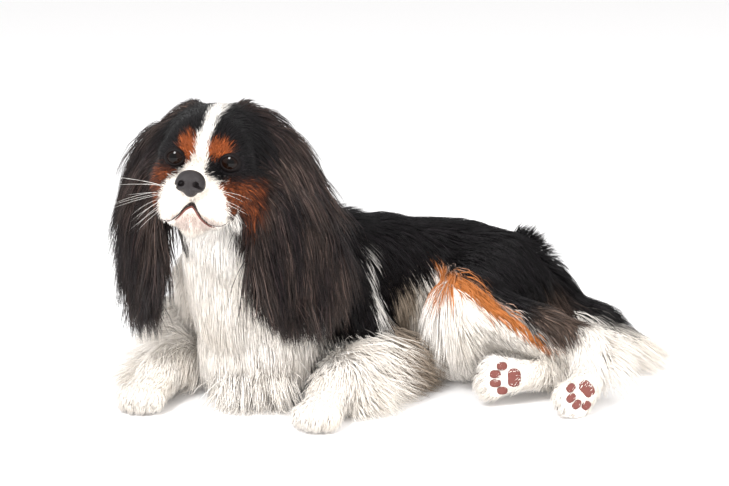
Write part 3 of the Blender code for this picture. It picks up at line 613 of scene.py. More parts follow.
def head_guides():
    """Rows of (place, way, style) on the head, given for the dog's left and mirrored."""
    table = [
        ((0, 24, 2), (0, -1, 0.25), "muzzle"),
        ((12, 30, -14), (0.7, -0.6, -0.2), "muzzle"),
        ((28, 22, -26), (0.5, -0.8, -0.4), "muzzle"),
        ((16, 34, -38), (0.35, -0.3, -0.85), "muzzle"),
        ((33, 6, -34), (0.35, -0.8, -0.5), "muzzle"),
        ((8, 26, -56), (0.1, -0.2, -1), "face"),
        ((16, 16, -60), (0.15, -0.5, -0.85), "face"),
        ((0, 6, -62), (0, -0.7, -0.7), "face"),
        ((10, 4, 14), (0.25, -0.4, 0.9), "face"),
        ((28, 2, 16), (0.6, -0.5, 0.5), "face"),
        ((36, -2, 0), (0.5, -0.85, -0.1), "face"),
        ((26, 8, -12), (0.5, -0.7, -0.4), "face"),
        ((0, 2, 28), (0, -0.5, 0.85), "face"),
        ((12, -14, 38), (0.3, -0.9, 0.1), "skull"),
        ((8, -45, 45), (0.15, -1, -0.05), "skull"),
        ((26, -34, 42), (0.8, -0.55, -0.2), "skull"),
        ((40, -20, 24), (0.6, -0.6, -0.5), "skull"),
        ((44, -46, 16), (0.4, -0.5, -0.8), "ear_root"),
        ((0, -86, 26), (0, -0.8, -0.6), "neck"),
        ((42, -16, -14), (0.3, -0.8, -0.5), "cheek"),
        ((40, -26, -42), (0.2, -0.5, -0.85), "cheek"),
        ((22, -10, -60), (0.1, -0.2, -1), "cheek"),
    ]
    rows = []
    for (left, front, up), (out, on, high), style in table:
        for side in (1, -1) if left else (1,):
            rows.append((on_head(side * left, front, up), head_way(side * out, on, high), style))
    return rows


def ear_guides():
    """Hair follows the leather down, and its lower edges turn in to a rounded end."""
    turns = {"left": ((0.35, -0.05, -0.93), (0.05, 0.0, -1.0)),
             "right": ((0.34, 0.0, -0.94), (-0.26, 0.0, -0.96))}
    rows = []
    for side, path in EAR_PATHS.items():
        path = np.array(path, float)
        front = unit(EAR_FRONTS[side])
        for k in range(len(path)):
            way = unit(path[min(k + 1, len(path) - 1)] - path[max(k - 1, 0)])
            rows.append((path[k], way, "ear" if k else "ear_root"))
        for edge_way, sign in zip(turns[side], (1, -1)):
            width = EAR_WIDTHS[side]
            rows.append((path[-2] + front * sign * width[-2], unit((0.12 * front[0] * sign, 0, -1)), "ear"))
            rows.append((path[-1] + front * sign * width[-1] * 0.9, unit(edge_way), "ear"))
    return rows


def trunk_guides():
    table = [
        ((-96, 30, 178), (0.5, 0.6, -0.6), "neck"),
        ((-46, 70, 152), (0.85, 0.4, -0.1), "withers"),
        ((-136, 20, 150), (-0.3, 0.5, -0.8), "neck"),
        ((-52, -8, 150), (0.5, 0.0, -0.85), "neck"),
        ((0, 106, 146), (0.95, 0.2, -0.15), "back"),
        ((60, 128, 138), (0.97, 0.1, -0.2), "back"),
        ((118, 138, 122), (0.92, 0.0, -0.40), "back"),
        ((150, 140, 104), (0.6, -0.2, 0.6), "ruff"),
        ((178, 138, 78), (0.8, -0.2, -0.55), "trousers"),
        ((-30, 18, 118), (0.45, -0.2, -0.85), "side"),
        ((20, 48, 108), (0.7, -0.3, -0.65), "side"),
        ((62, 66, 104), (0.7, -0.3, -0.6), "side"),
        ((-100, 92, 104), (0.4, 0.4, -0.8), "side"),
        ((-20, 156, 96), (0.6, 0.3, -0.75), "side"),
        ((60, 180, 90), (0.75, 0.1, -0.65), "side"),
        ((140, 184, 70), (0.85, 0.1, -0.5), "side"),
        ((-60, 120, 40), (0.3, 0.5, -0.8), "fringe"),
        ((20, 160, 34), (0.4, 0.4, -0.8), "fringe"),
        ((12, 46, 62), (0.3, -0.3, -0.9), "fringe"),
        ((48, 60, 62), (0.2, -0.4, -0.9), "fringe"),
        ((-20, 90, 16), (0.5, -0.3, -0.6), "underside"),
        ((60, 120, 18), (0.5, -0.2, -0.6), "underside"),
        ((-80, 20, 20), (0.3, -0.6, -0.6), "underside"),
        ((-120, -84, 176), (0.05, -0.15, -1), "bib"),
        ((-152, -50, 160), (-0.1, -0.15, -1), "bib"),
        ((-100, -64, 130), (0.05, 0.0, -1), "bib"),
        ((-136, -50, 120), (-0.1, 0.0, -1), "bib"),
        ((-104, -50, 70), (0.05, 0.1, -1), "bib"),
        ((-70, -50, 80), (0.3, -0.2, -0.9), "bib"),
        ((-140, -20, 70), (-0.3, -0.05, -0.95), "bib"),
        ((-112, -42, 16), (-0.1, -0.85, -0.4), "feather"),
        ((-80, -46, 16), (0.2, -0.85, -0.4), "feather"),
    ]
    return rows_of(table)


def leg_guides():
    table = [
        (shoulder(1) + (24, -6, 0), (0.4, -0.2, -0.9), "side"),
        (elbow(1) + (20, 0, 6), (0.92, -0.1, -0.3), "feather"),
        (elbow(1) + (10, -40, 2), (0.9, -0.3, -0.2), "feather"),
        (wrist(1) + (14, 34, 2), (0.7, -0.6, -0.2), "feather"),
        (wrist(1) + (0, 14, 12), (-0.2, -0.95, -0.2), "leg"),
        (elbow(-1) + (-18, -10, 6), (-0.95, 0.05, -0.25), "feather"),
        (elbow(-1) + (-30, -44, 2), (-0.95, -0.1, -0.15), "feather"),
        (wrist(-1) + (-14, 30, 2), (-0.8, -0.5, -0.2), "feather"),
        (wrist(-1) + (0, 14, 12), (-0.3, -0.95, -0.2), "leg"),
        (THIGH_TOP + (0, -30, 34), (0.75, -0.4, -0.5), "side"),
        (THIGH_TOP + (26, -40, 10), (0.85, -0.3, -0.5), "trousers"),
        (STIFLE + (0, -26, 16), (0.8, -0.1, -0.55), "side"),
        (STIFLE + (-20, -8, 0), (0.15, -0.25, -0.95), "fringe"),
        (STIFLE + (30, -28, -10), (0.85, -0.1, -0.55), "leg"),
        (STIFLE * 0.4 + HOCK * 0.6 + (0, 20, 10), (0.85, -0.3, -0.5), "trousers"),
        (HOCK + (0, -8, 8), (0.3, -0.8, -0.5), "leg"),
        (HOCK + (12, 8, -6), (0.8, -0.4, -0.4), "feather"),
        (LOW_STIFLE + (0, -20, 8), (0.75, -0.4, -0.4), "leg"),
        (LOW_HOCK + (0, -8, 6), (0.3, -0.9, -0.2), "leg"),
        (LOW_THIGH_TOP + (30, -10, -10), (0.8, -0.4, -0.5), "trousers"),
        ((186, 134, 66), (0.8, -0.3, -0.5), "tail"),
        ((214, 118, 52), (0.85, -0.40, -0.35), "tail"),
        ((236, 100, 36), (0.85, -0.45, -0.25), "tail"),
        ((252, 90, 24), (0.95, -0.25, -0.1), "tail"),
        ((208, 110, 24), (0.30, -0.95, -0.1), "plume"),
        ((236, 88, 16), (0.35, -0.92, -0.05), "plume"),
    ]
    rows = rows_of(table)
    for centre, toe, sole, size in PAWS.values():
        turn = paw_turn(toe, sole)
        rows.append((centre + turn[:, 2] * size * 0.5, unit(toe), "paw"))
        rows.append((centre + turn[:, 1] * size * 1.2, unit(unit(toe) + unit(sole) * 0.6), "toe"))
        if sole[2] > -0.5:
            rows.append((centre - turn[:, 2] * size * 0.6, unit(toe), "sole"))
    return rows


class Lie:
    """Which way the hair runs at a place, and what it is like."""

    # A guide's weight is (its distance squared + SOFTEN) to the power FALL_OFF
    SOFTEN = 16.0
    FALL_OFF = -2.5
    # Places worked out at a time
    BATCH = 20000

    def __init__(self):
        rows = head_guides() + ear_guides() + trunk_guides() + leg_guides()
        self.spots = np.array([row[0] for row in rows])
        self.ways = np.array([row[1] for row in rows])
        self.styles = np.array([STYLES[row[2]] for row in rows])

    def at(self, points):
        """The way and the style at each place, mostly from the guides nearest to it."""
        ways = np.empty((len(points), 3))
        styles = np.empty((len(points), self.styles.shape[1]))
        for start in range(0, len(points), self.BATCH):
            some = slice(start, start + self.BATCH)
            gap = ((points[some][:, None] - self.spots[None]) ** 2).sum(axis=2) + self.SOFTEN
            weight = gap**self.FALL_OFF
            weight /= weight.sum(axis=1, keepdims=True)
            ways[some] = weight @ self.ways
            styles[some] = weight @ self.styles
        return unit(ways), styles


# Materials and meshes


def add_node(tree, kind, settings=None, links=None):
    """Adds a shader node, sets its sockets or options by name, and links sockets to it."""
    node = tree.nodes.new(kind)
    for name, value in (settings or {}).items():
        if name in node.inputs:
            node.inputs[name].default_value = value
        else:
            setattr(node, name, value)
    for name, socket in (links or {}).items():
        tree.links.new(socket, node.inputs[name])
    return node


def new_material(name, roughness, ior, gloss, colour=None):
    """A principled material with its typical values, as (material, tree, shader)."""
    made = bpy.data.materials.new(name)
    made.use_nodes = True
    shader = made.node_tree.nodes["Principled BSDF"]
    shader.inputs["Roughness"].default_value = roughness
    shader.inputs["IOR"].default_value = ior
    shader.inputs["Specular IOR Level"].default_value = gloss
    if colour is not None:
        shader.inputs["Base Color"].default_value = (*colour, 1)
    return made, made.node_tree, shader


def per_metre(millimetres):
    """The scale of a pattern whose cells are this wide."""
    return 1000 / millimetres


def colour_by_marks(tree, shader, grain, contrast):
    """The markings stored on the mesh, a little lighter and darker along each hair."""
    marks = add_node(tree, "ShaderNodeAttribute", {"attribute_name": "markings"})
    noise = add_node(tree, "ShaderNodeTexNoise", {"Scale": per_metre(grain), "Detail": 2.0})
    shade = add_node(tree, "ShaderNodeMapRange", {"To Min": 1 - contrast, "To Max": 1 + contrast},
                     {"Value": noise.outputs["Fac"]})
    tint = add_node(tree, "ShaderNodeVectorMath", {"operation": "SCALE"},
                    {"Vector": marks.outputs["Color"], "Scale": shade.outputs["Result"]})
    tree.links.new(tint.outputs["Vector"], shader.inputs["Base Color"])


def relief(tree, shader, pattern, cell, detail, strength, depth):
    """Raises a finish by a pattern, with its cells' width and its depth in millimetres."""
    texture = add_node(tree, pattern, {"Scale": per_metre(cell), "Detail": detail})
    height = add_node(tree, "ShaderNodeBump", {"Strength": strength, "Distance": depth * MM},
                      {"Height": texture.outputs[0]})
    tree.links.new(height.outputs["Normal"], shader.inputs["Normal"])


def undercoat_skin():
    # Skin with short undercoat: dull, and rough as felt between the tufts
    made, tree, shader = new_material("undercoat_skin", 0.75, 1.45, 0.25)
    colour_by_marks(tree, shader, 3.0, 0.10)
    relief(tree, shader, "ShaderNodeTexNoise", 1.1, 3.0, 0.5, 0.8)
    return made


def grown_hair(name, roughness, gloss, contrast):
    # Keratin hair: satin along its length, and each hair keeps its own shade
    made, tree, shader = new_material(name, roughness, 1.55, gloss)
    colour_by_marks(tree, shader, 4.0, contrast)
    return made


def mesh_object(name, points, faces, material, colours=None, maps=None):
    """A mesh from arrays: places in millimetres, equal-sided faces, a colour for each corner of
    the mesh, and a map place for each corner of each face."""
    mesh = bpy.data.meshes.new(name)
    faces = np.asarray(faces)
    sides = faces.shape[1]
    mesh.vertices.add(len(points))
    mesh.vertices.foreach_set("co", place(points).astype(np.float32).ravel())
    mesh.loops.add(faces.size)
    mesh.loops.foreach_set("vertex_index", faces.astype(np.int32).ravel())
    mesh.polygons.add(len(faces))
    mesh.polygons.foreach_set("loop_start", np.arange(0, faces.size, sides, dtype=np.int32))
    mesh.polygons.foreach_set("use_smooth", np.ones(len(faces), bool))
    mesh.update(calc_edges=True)
    if maps is not None:
        layer = mesh.uv_layers.new(name="OFBake")
        layer.data.foreach_set("uv", np.asarray(maps, np.float32).ravel())
    if colours is not None:
        layer = mesh.color_attributes.new("markings", "FLOAT_COLOR", "POINT")
        rgba = np.ones((len(points), 4), np.float32)
        rgba[:, :3] = colours
        layer.data.foreach_set("color", rgba.ravel())
    mesh.validate()
    mesh.materials.append(material)
    obj = bpy.data.objects.new(name, mesh)
    bpy.context.scene.collection.objects.link(obj)
    return obj


def riding(obj, slot, *nodes):
    """Sets a piece on the body and hides the nodes that it replaces; the slot is not used."""
    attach(obj, "root")
    if nodes:
        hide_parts(*nodes)


def round_ball(cuts):
    """A ball of quads with radius 1, from a cube's six faces."""
    steps = np.tan(np.linspace(-math.pi / 4, math.pi / 4, cuts + 1))
    u, v = np.meshgrid(steps, steps, indexing="ij")
    index = np.arange((cuts + 1) ** 2).reshape(cuts + 1, cuts + 1)
    points, quads = [], []
    for axis in range(3):
        for sign in (1, -1):
            face = np.empty((cuts + 1, cuts + 1, 3))
            face[..., axis] = sign
            face[..., (axis + 1) % 3] = u * sign
            face[..., (axis + 2) % 3] = v
            here = index + len(points) * index.size
            ring = (here[:-1, :-1], here[1:, :-1], here[1:, 1:], here[:-1, 1:])
            quads.append(np.stack(ring, axis=-1).reshape(-1, 4))
            points.append(face.reshape(-1, 3))
    points, quads = unit(np.concatenate(points)), np.concatenate(quads)
    _, first, merged = np.unique(points.round(5) + 0.0, axis=0, return_index=True, return_inverse=True)
    return points[first], merged.ravel()[quads]


def sweep(path, sideways, widths, depths, closed=False, sides=10):
    """A tube of triangles round a path, flat along the sideways direction."""
    path = np.asarray(path, float)
    count = len(path)
    way = np.roll(path, -1, 0) - np.roll(path, 1, 0) if closed else np.gradient(path, axis=0)
    way = unit(way)
    side = unit(sideways - way * (sideways * way).sum(axis=1, keepdims=True))
    lift = np.cross(way, side)
    spin = np.arange(sides) * 2 * math.pi / sides
    wide = np.cos(spin)[None, :, None] * np.broadcast_to(widths, count)[:, None, None]
    deep = np.sin(spin)[None, :, None] * np.broadcast_to(depths, count)[:, None, None]
    points = (path[:, None] + side[:, None] * wide + lift[:, None] * deep).reshape(-1, 3)
    index = np.arange(count * sides).reshape(count, sides)
    here, there = (index, np.roll(index, -1, 0)) if closed else (index[:-1], index[1:])
    here_next, there_next = np.roll(here, -1, 1), np.roll(there, -1, 1)
    faces = [np.stack([here, here_next, there_next], -1), np.stack([here, there_next, there], -1)]
    if not closed:
        first = np.full(sides, count * sides)
        points = np.concatenate([points, path[:1], path[-1:]])
        faces.append(np.stack([first, np.roll(index[0], -1), index[0]], -1))
        faces.append(np.stack([first + 1, index[-1], np.roll(index[-1], -1)], -1))
    return points, np.concatenate([face.reshape(-1, 3) for face in faces])


def gathered(pieces):
    """Several (points, faces) as one."""
    points, faces, start = [], [], 0
    for spots, sides in pieces:
        points.append(spots)
        faces.append(sides + start)
        start += len(spots)
    return np.concatenate(points), np.concatenate(faces)


FLESH_NODES = [
    "head", "ear_left", "ear_right", "neck", "chest", "loin", "rump", "tail",
    "foreleg_left", "foreleg_right", "forepaw_left", "forepaw_right", "thigh_left",
    "thigh_right", "shank_left", "shank_right", "hindpaw_left", "hindpaw_right",
]


def build_skin(coat_settings):
    body = body_now()
    points, quads = net(body.value, body.LOW, body.cell)
    colours = Markings(coat_settings).at(points) * 0.95
    skin = mesh_object("skin", points, quads, undercoat_skin(), colours)
    bpy.context.view_layer.objects.active = skin
    skin.select_set(True)
    bpy.ops.object.mode_set(mode="EDIT")
    bpy.ops.mesh.select_all(action="SELECT")
    bpy.ops.uv.smart_project(angle_limit=math.radians(66), island_margin=0.003)
    bpy.ops.object.mode_set(mode="OBJECT")
    skin.data.uv_layers[0].name = "OFBake"
    skin.select_set(False)
    riding(skin, "body_coat", *FLESH_NODES)


def skin_arrays(skin):
    """The skin's corners in millimetres, its triangles, and their map places."""
    mesh = skin.data
    mesh.calc_loop_triangles()
    corners = np.empty(len(mesh.loop_triangles) * 3, np.int32)
    mesh.loop_triangles.foreach_get("vertices", corners)
    loops = np.empty_like(corners)
    mesh.loop_triangles.foreach_get("loops", loops)
    spots = np.empty(len(mesh.vertices) * 3)
    mesh.vertices.foreach_get("co", spots)
    uv = np.empty(len(mesh.loops) * 2)
    mesh.uv_layers["OFBake"].data.foreach_get("uv", uv)
    spots = spots.reshape(-1, 3) / MM - SHIFT
    return spots, corners.reshape(-1, 3), uv.reshape(-1, 2)[loops.reshape(-1, 3)]


def roots_on(skin, lie, density, rng):
    """Places on the skin where tufts grow, and their spots on the map."""
    square_centimetre = 100
    spots, corners, maps = skin_arrays(skin)
    a, b, c = (spots[corners[:, k]] for k in range(3))
    area = np.linalg.norm(np.cross(b - a, c - a), axis=1) / 2
    _, styles = lie.at((a + b + c) / 3)
    count = rng.poisson(area / square_centimetre * styles[:, DENSITY] * density)
    chosen = np.repeat(np.arange(len(area)), count)
    mix = rng.random((len(chosen), 2))
    mix[mix.sum(axis=1) > 1] = 1 - mix[mix.sum(axis=1) > 1]
    weights = np.column_stack([1 - mix.sum(axis=1), mix])
    points = np.einsum("nk,nkd->nd", weights, spots[corners[chosen]])
    return points, np.einsum("nk,nkd->nd", weights, maps[chosen])


# How deep in the skin a hair's root lies, and how steeply the hair leaves the skin
ROOT_DEPTH = 1.2
ROOT_RISE = 0.25
# Hair with more stand-off than this keeps what its way rises beyond STEEPEST
LOOSE_STAND = 6.5
STEEPEST = 0.35
# Hair with more gravity than this hangs, and ends a little above the floor
HANGING = 0.18
# The most that a clinging hair is drawn in at a step
DRAWN_IN = 6.0


def grow(body, points, ways, styles, lengths, stands, steps):
    """Paths of hairs: each follows its way, sinks with its weight and slides over the skin."""
    _, normals = body.sample(points)
    outward = (ways * normals).sum(axis=1)
    outward = np.where(styles[:, STAND] > LOOSE_STAND, np.minimum(outward, STEEPEST), outward)
    ways = unit(ways - normals * outward[:, None] * 0.9)
    spot = points - normals * ROOT_DEPTH
    path = [spot]
    way = unit(ways + normals * ROOT_RISE)
    down = np.array([0.0, 0.0, -1.0])
    hang = np.maximum(points[:, 2] - 4.0, 9.0) * 1.15
    lengths = np.where(styles[:, GRAVITY] > HANGING, np.minimum(lengths, hang + 8 * stands / 5), lengths)
    for step in range(1, steps + 1):
        share = step / steps
        fall = (styles[:, GRAVITY] * share)[:, None]
        way = unit(way * (1 - fall) + down * fall)
        spot = spot + way * (lengths / steps)[:, None]
        depth, out = body.sample(spot)
        want = stands * math.sin(min(share * 1.4, 1.0) * math.pi / 2)
        gap = want - depth
        move = np.where(gap > 0, gap, np.maximum(gap, -DRAWN_IN) * styles[:, CLING])
        spot = spot + out * move[:, None]
        # The floor holds it up
        spot[:, 2] += np.maximum(1.0 + 0.35 * stands - spot[:, 2], 0)
        way = unit(spot - path[-1])
        path.append(spot)
    return np.stack(path, axis=1)


WAVE_LENGTH = 52.0


def waves(paths, amount, phase, ways):
    """Bends each path from side to side, more towards its tip."""
    along = np.linspace(0, 1, paths.shape[1])
    reach = np.linalg.norm(paths[:, -1] - paths[:, 0], axis=1)
    turns = reach / WAVE_LENGTH
    side = unit(np.cross(ways, (0.2, 0.9, 0.1)))
    swing = np.sin(2 * math.pi * turns[:, None] * along + phase[:, None]) - np.sin(phase)[:, None]
    return paths + side[:, None] * (swing * along * amount[:, None])[..., None]


# How a hair tapers, for each number of rings, and which of these the coat's tufts have
PROFILE = {2: (0.9, 0.9), 3: (0.8, 1.0, 0.7), 4: (0.8, 1.0, 0.95, 0.6), 5: (0.75, 1.0, 1.0, 0.9, 0.55)}
COAT_RINGS = (2, 3, 4)
# How high a hair's ridge stands, in half widths, and the size of its patch on the map
RIDGE = 0.6
PATCH_SIZE = 0.003


def tufts(paths, normals, widths, colours, maps, tips):
    """Closed three-sided hairs round some paths, as points, triangles, colours and map places."""
    count, rings = paths.shape[0], paths.shape[1] - 1
    way = unit(np.gradient(paths, axis=1))
    side = unit(np.cross(way, normals[:, None]))
    lift = np.cross(side, way)
    profile = np.array(PROFILE[rings])[None, :, None] * widths[:, None, None]
    ring = paths[:, :-1]
    s, l = side[:, :-1] * profile, lift[:, :-1] * profile
    points = np.stack([ring + s, ring - s, ring + RIDGE * l], axis=2).reshape(count, -1, 3)
    points = np.concatenate([points, paths[:, -1:]], axis=1)
    each = points.shape[1]
    faces = [(0, 1, 2)]
    for k in range(0, 3 * rings - 3, 3):
        for a, b in ((0, 1), (1, 2), (2, 0)):
            faces += [(k + a, k + 3 + a, k + b), (k + b, k + 3 + a, k + 3 + b)]
    last = 3 * (rings - 1)
    faces += [(last + a, each - 1, last + b) for a, b in ((0, 1), (1, 2), (2, 0))]
    faces = np.array(faces)
    along = np.concatenate([np.repeat(np.arange(rings) / rings, 3), [1.0]])
    across = np.concatenate([np.tile((0.0, 1.0, 0.5), rings), [0.5]])
    # Painted shade along each tuft: on most tufts the tip is lighter than the root, whose darker tone stands
    # for shade deep in the coat. How much differs at random, and a few tips are darker.
    shade = 1 + (tips[:, None] - 1) * along
    tints = colours[:, None] * shade[..., None]
    uv = maps[:, None] + ((np.column_stack([along, across]) - 0.5) * PATCH_SIZE)[None]
    every = (faces[None] + (np.arange(count) * each)[:, None, None]).reshape(-1, 3)
    loops = uv.reshape(-1, 2)[every.reshape(-1)]
    return points.reshape(-1, 3), every, tints.reshape(-1, 3), loops


def mouth_line(count=90):
    """The mouth from one corner to the other, as (left, up) on the face."""
    half = np.array(MOUTH_HALF, float)
    whole = np.concatenate([half[::-1] * (-1, 1), half[1:]])
    s = np.linspace(0, len(whole) - 1, count)
    line = np.column_stack([np.interp(s, np.arange(len(whole)), whole[:, k]) for k in (0, 1)])
    # Rounds the bends
    for _ in range(4):
        line[1:-1] = (line[:-2] + 2 * line[1:-1] + line[2:]) / 4
    return line


# Half widths of the places without hair
EYE_BARE = 8.3
NOSE_BARE = 12.8
LIP_BARE = 1.5


def bare(points):
    """Where no hair grows: the eyes, the nose leather, the lips and the pads."""
    local = in_head(points)
    side = np.abs(local[:, 0])
    across = np.stack([side - EYE_SPACING / 2, local[:, 1] * 0.4, local[:, 2] * 1.15], axis=1)
    eye = (np.linalg.norm(across, axis=1) < EYE_BARE) & (local[:, 1] > -12)
    nose = np.linalg.norm((local - NOSE) * (1, 1, 1.05), axis=1) < NOSE_BARE
    near = np.flatnonzero((local[:, 1] > 0) & (local[:, 2] < -28))
    lips = np.zeros(len(points), bool)
    gap = local[near][:, None, [0, 2]] - mouth_line()[None]
    lips[near] = np.linalg.norm(gap, axis=2).min(axis=1) < LIP_BARE
    sole = np.zeros(len(points), bool)
    for spot, size in pad_places():
        sole |= np.linalg.norm(points - spot, axis=1) < size
    return eye | nose | lips | sole


# Where the trunk's coat pieces part: the neck's lower end, then the starts of the back, thigh, rump and
# tail, and the height up to which hair on the forelegs counts as theirs
NECK_END, BACK_START, THIGH_START, RUMP_START, TAIL_START, LEG_TOP = 105, -20, 80, 150, 185, 70

# Coat pieces, each with the material slot that it takes
ZONES = [
    ("coat_neck", "body_coat"),
    ("coat_bib", "body_coat"),
    ("coat_back", "body_coat"),
    ("coat_rump", "body_coat"),
    ("coat_thigh", "body_coat"),
    ("coat_tail", "body_coat"),
    ("coat_foreleg_left", "white_coat"),
    ("coat_foreleg_right", "white_coat"),
    ("coat_hindpaws", "white_coat"),
    ("coat_face", "short_coat"),
    ("coat_head", "short_coat"),
    ("coat_ear_left", "ear_coat"),
    ("coat_ear_right", "ear_coat"),
]


def zone_of(points, body):
    """Which coat piece a root belongs to."""
    names = [name for name, _ in ZONES]
    x, _, z = points.T
    zone = np.where(z > NECK_END, names.index("coat_neck"), names.index("coat_bib"))
    zone[x > BACK_START] = names.index("coat_back")
    zone[x > THIGH_START] = names.index("coat_thigh")
    zone[x > RUMP_START] = names.index("coat_rump")

    def near(*nodes):
        gaps = [distance(points, form) for node in nodes for form in body.forms[node]]
        return np.min(gaps, axis=0) < 3

    zone[near("tail") & (x > TAIL_START)] = names.index("coat_tail")
    for _, side in SIDES:
        leg = near("foreleg_" + side, "forepaw_" + side) & (z < LEG_TOP)
        zone[leg] = names.index("coat_foreleg_" + side)
    zone[near("hindpaw_left", "hindpaw_right")] = names.index("coat_hindpaws")
    local = in_head(points)
    head = (np.linalg.norm(local * (1, 0.8, 1) - (0, -16, -4), axis=1) < 62) | (local[:, 1] > 0)
    head &= local[:, 2] > -66
    zone[head] = names.index("coat_head")
    zone[head & (local[:, 1] > -12)] = names.index("coat_face")
    for _, side in SIDES:
        zone[near("ear_" + side)] = names.index("coat_ear_" + side)
    return zone


class Fleece:
    """Every root of the coat, with what its tuft is like."""

    # One tuft in this many leads the others round it
    GROUP = 14
    # Tufts longer than these have 3 and 4 rings, and the rest 2
    MIDDLE_LENGTH, LONG_LENGTH = 19, 41
    # How far, in millimetres, a tuft's colour may come from beside its root
    COLOUR_SCATTER = 1.1
    # The least height of a tuft's middle over the floor
    FLOOR_GAP = 0.8

    def __init__(self, body, skin, settings):
        rng = np.random.default_rng(settings.seed)
        lie = Lie()
        points, maps = roots_on(skin, lie, settings.density, rng)
        keep = ~bare(points)
        self.body = body
        self.points, self.maps = points[keep], maps[keep]
        self.ways, self.styles = lie.at(self.points)
        self.styles[:, LENGTH] *= settings.length
        self.styles[:, WIDTH] *= settings.thickness
        _, self.normals = body.sample(self.points)
        count = len(self.points)
        # Tufts gather round leaders, which are some of the tufts themselves
        self.leaders = rng.choice(count, count // self.GROUP, replace=False)
        tree = kdtree.KDTree(len(self.leaders))
        for k, leader in enumerate(self.leaders):
            tree.insert(self.points[leader], k)
        tree.balance()
        self.leader_of = np.array([tree.find(p)[1] for p in self.points])
        self.phase = rng.random(len(self.leaders)) * 2 * math.pi
        self.vary = rng.random((count, 5))
        # No two tufts are quite as long or stand off alike
        self.lengths = self.styles[:, LENGTH] * (0.62 + 0.5 * self.vary[:, 0])
        self.stands = self.styles[:, STAND] * (0.15 + 0.95 * self.vary[:, 1])
        scatter = rng.normal(0, 1, (count, 3)) * self.styles[:, SCATTER, None]
        self.ways = unit(self.ways + scatter)
        beside = self.points + rng.normal(0, self.COLOUR_SCATTER, (count, 3))
        # Each tuft's colour, with painted sheen on a few of the dark tufts
        self.colours = self.strand_sheen_and_tone(Markings(settings).at(beside))
        length = self.styles[:, LENGTH]
        self.steps = np.where(length > self.LONG_LENGTH, 4, np.where(length > self.MIDDLE_LENGTH, 3, 2))

    def strand_sheen_and_tone(self, colours):
        """Dark hair has a few much lighter strands, a painted sheen, and white hair differs only a little at
        random.
        """
        dark = colours.mean(axis=1) < 0.1
        # Painted sheen: a few dark tufts are made up to about three times lighter. White tufts vary a little
        # at random.
        light = np.where(dark, 0.55 + 2.4 * self.vary[:, 2] ** 5, 0.89 + 0.11 * self.vary[:, 2])
        return np.minimum(colours * light[:, None], 0.96)

    def part(self, mine, rings):
        """The tufts of some of the roots, as arrays for a mesh."""
        styles, ways = self.styles, self.ways
        group = self.leader_of[mine]
        heads, back = np.unique(group, return_inverse=True)
        lead = self.leaders[heads]
        # Each tuft's own path, and its leader's, which it leans to towards its tip
        own = grow(self.body, self.points[mine], ways[mine], styles[mine], self.lengths[mine],
                   self.stands[mine], rings)
        own = waves(own, styles[mine, WAVE] * 0.4, self.phase[group] + 0.8 * self.vary[mine, 3], ways[mine])
        main = grow(self.body, self.points[lead], ways[lead], styles[lead], styles[lead, LENGTH] * 1.05,
                    styles[lead, STAND] * 0.7, rings)
        main = waves(main, styles[lead, WAVE], self.phase[heads], ways[lead])
        share = styles[mine, CLUMP][:, None] * np.linspace(0, 1, rings + 1)[None] ** 1.3
        spread = (self.points[mine] - self.points[lead][back])[:, None] * 0.35
        paths = own + (main[back] + spread - own) * share[..., None]
        paths[..., 2] = np.maximum(paths[..., 2], self.FLOOR_GAP)
        # Tips are 0.88 to 1.18 times as light as their roots: painted shade at the roots on most tufts
        return tufts(paths, self.normals[mine], styles[mine, WIDTH], self.colours[mine],
                     self.maps[mine], 0.88 + 0.3 * self.vary[mine, 3])


def build_coat(settings):
    skin = bpy.data.objects.get("skin")
    if skin is None:
        raise RuntimeError("The coat grows on the skin: make the skin first")
    body = body_now()
    fleece = Fleece(body, skin, settings)
    zone = zone_of(fleece.points, body)
    # Short hair is duller than the long silky hair, and white hair duller than dark
    materials = {
        "body_coat": grown_hair("silky_body_hair", 0.42, 0.22, 0.10),
        "ear_coat": grown_hair("long_ear_hair", 0.40, 0.30, 0.12),
        "short_coat": grown_hair("short_face_hair", 0.55, 0.25, 0.08),
        "white_coat": grown_hair("soft_white_feathering", 0.60, 0.25, 0.05),
    }
    total = 0
    for k, (name, slot) in enumerate(ZONES):
        parts = []
        for rings in COAT_RINGS:
            mine = np.flatnonzero((zone == k) & (fleece.steps == rings))
            if len(mine):
                parts.append(fleece.part(mine, rings))
        points, faces = gathered([part[:2] for part in parts])
        tints = np.concatenate([part[2] for part in parts])
        maps = np.concatenate([part[3] for part in parts])
        riding(mesh_object(name, points, faces, materials[slot], tints, maps), slot)
        total += len(faces)
        print(name, len(faces), "triangles")
    print("coat", total, "triangles,", len(fleece.points), "tufts")


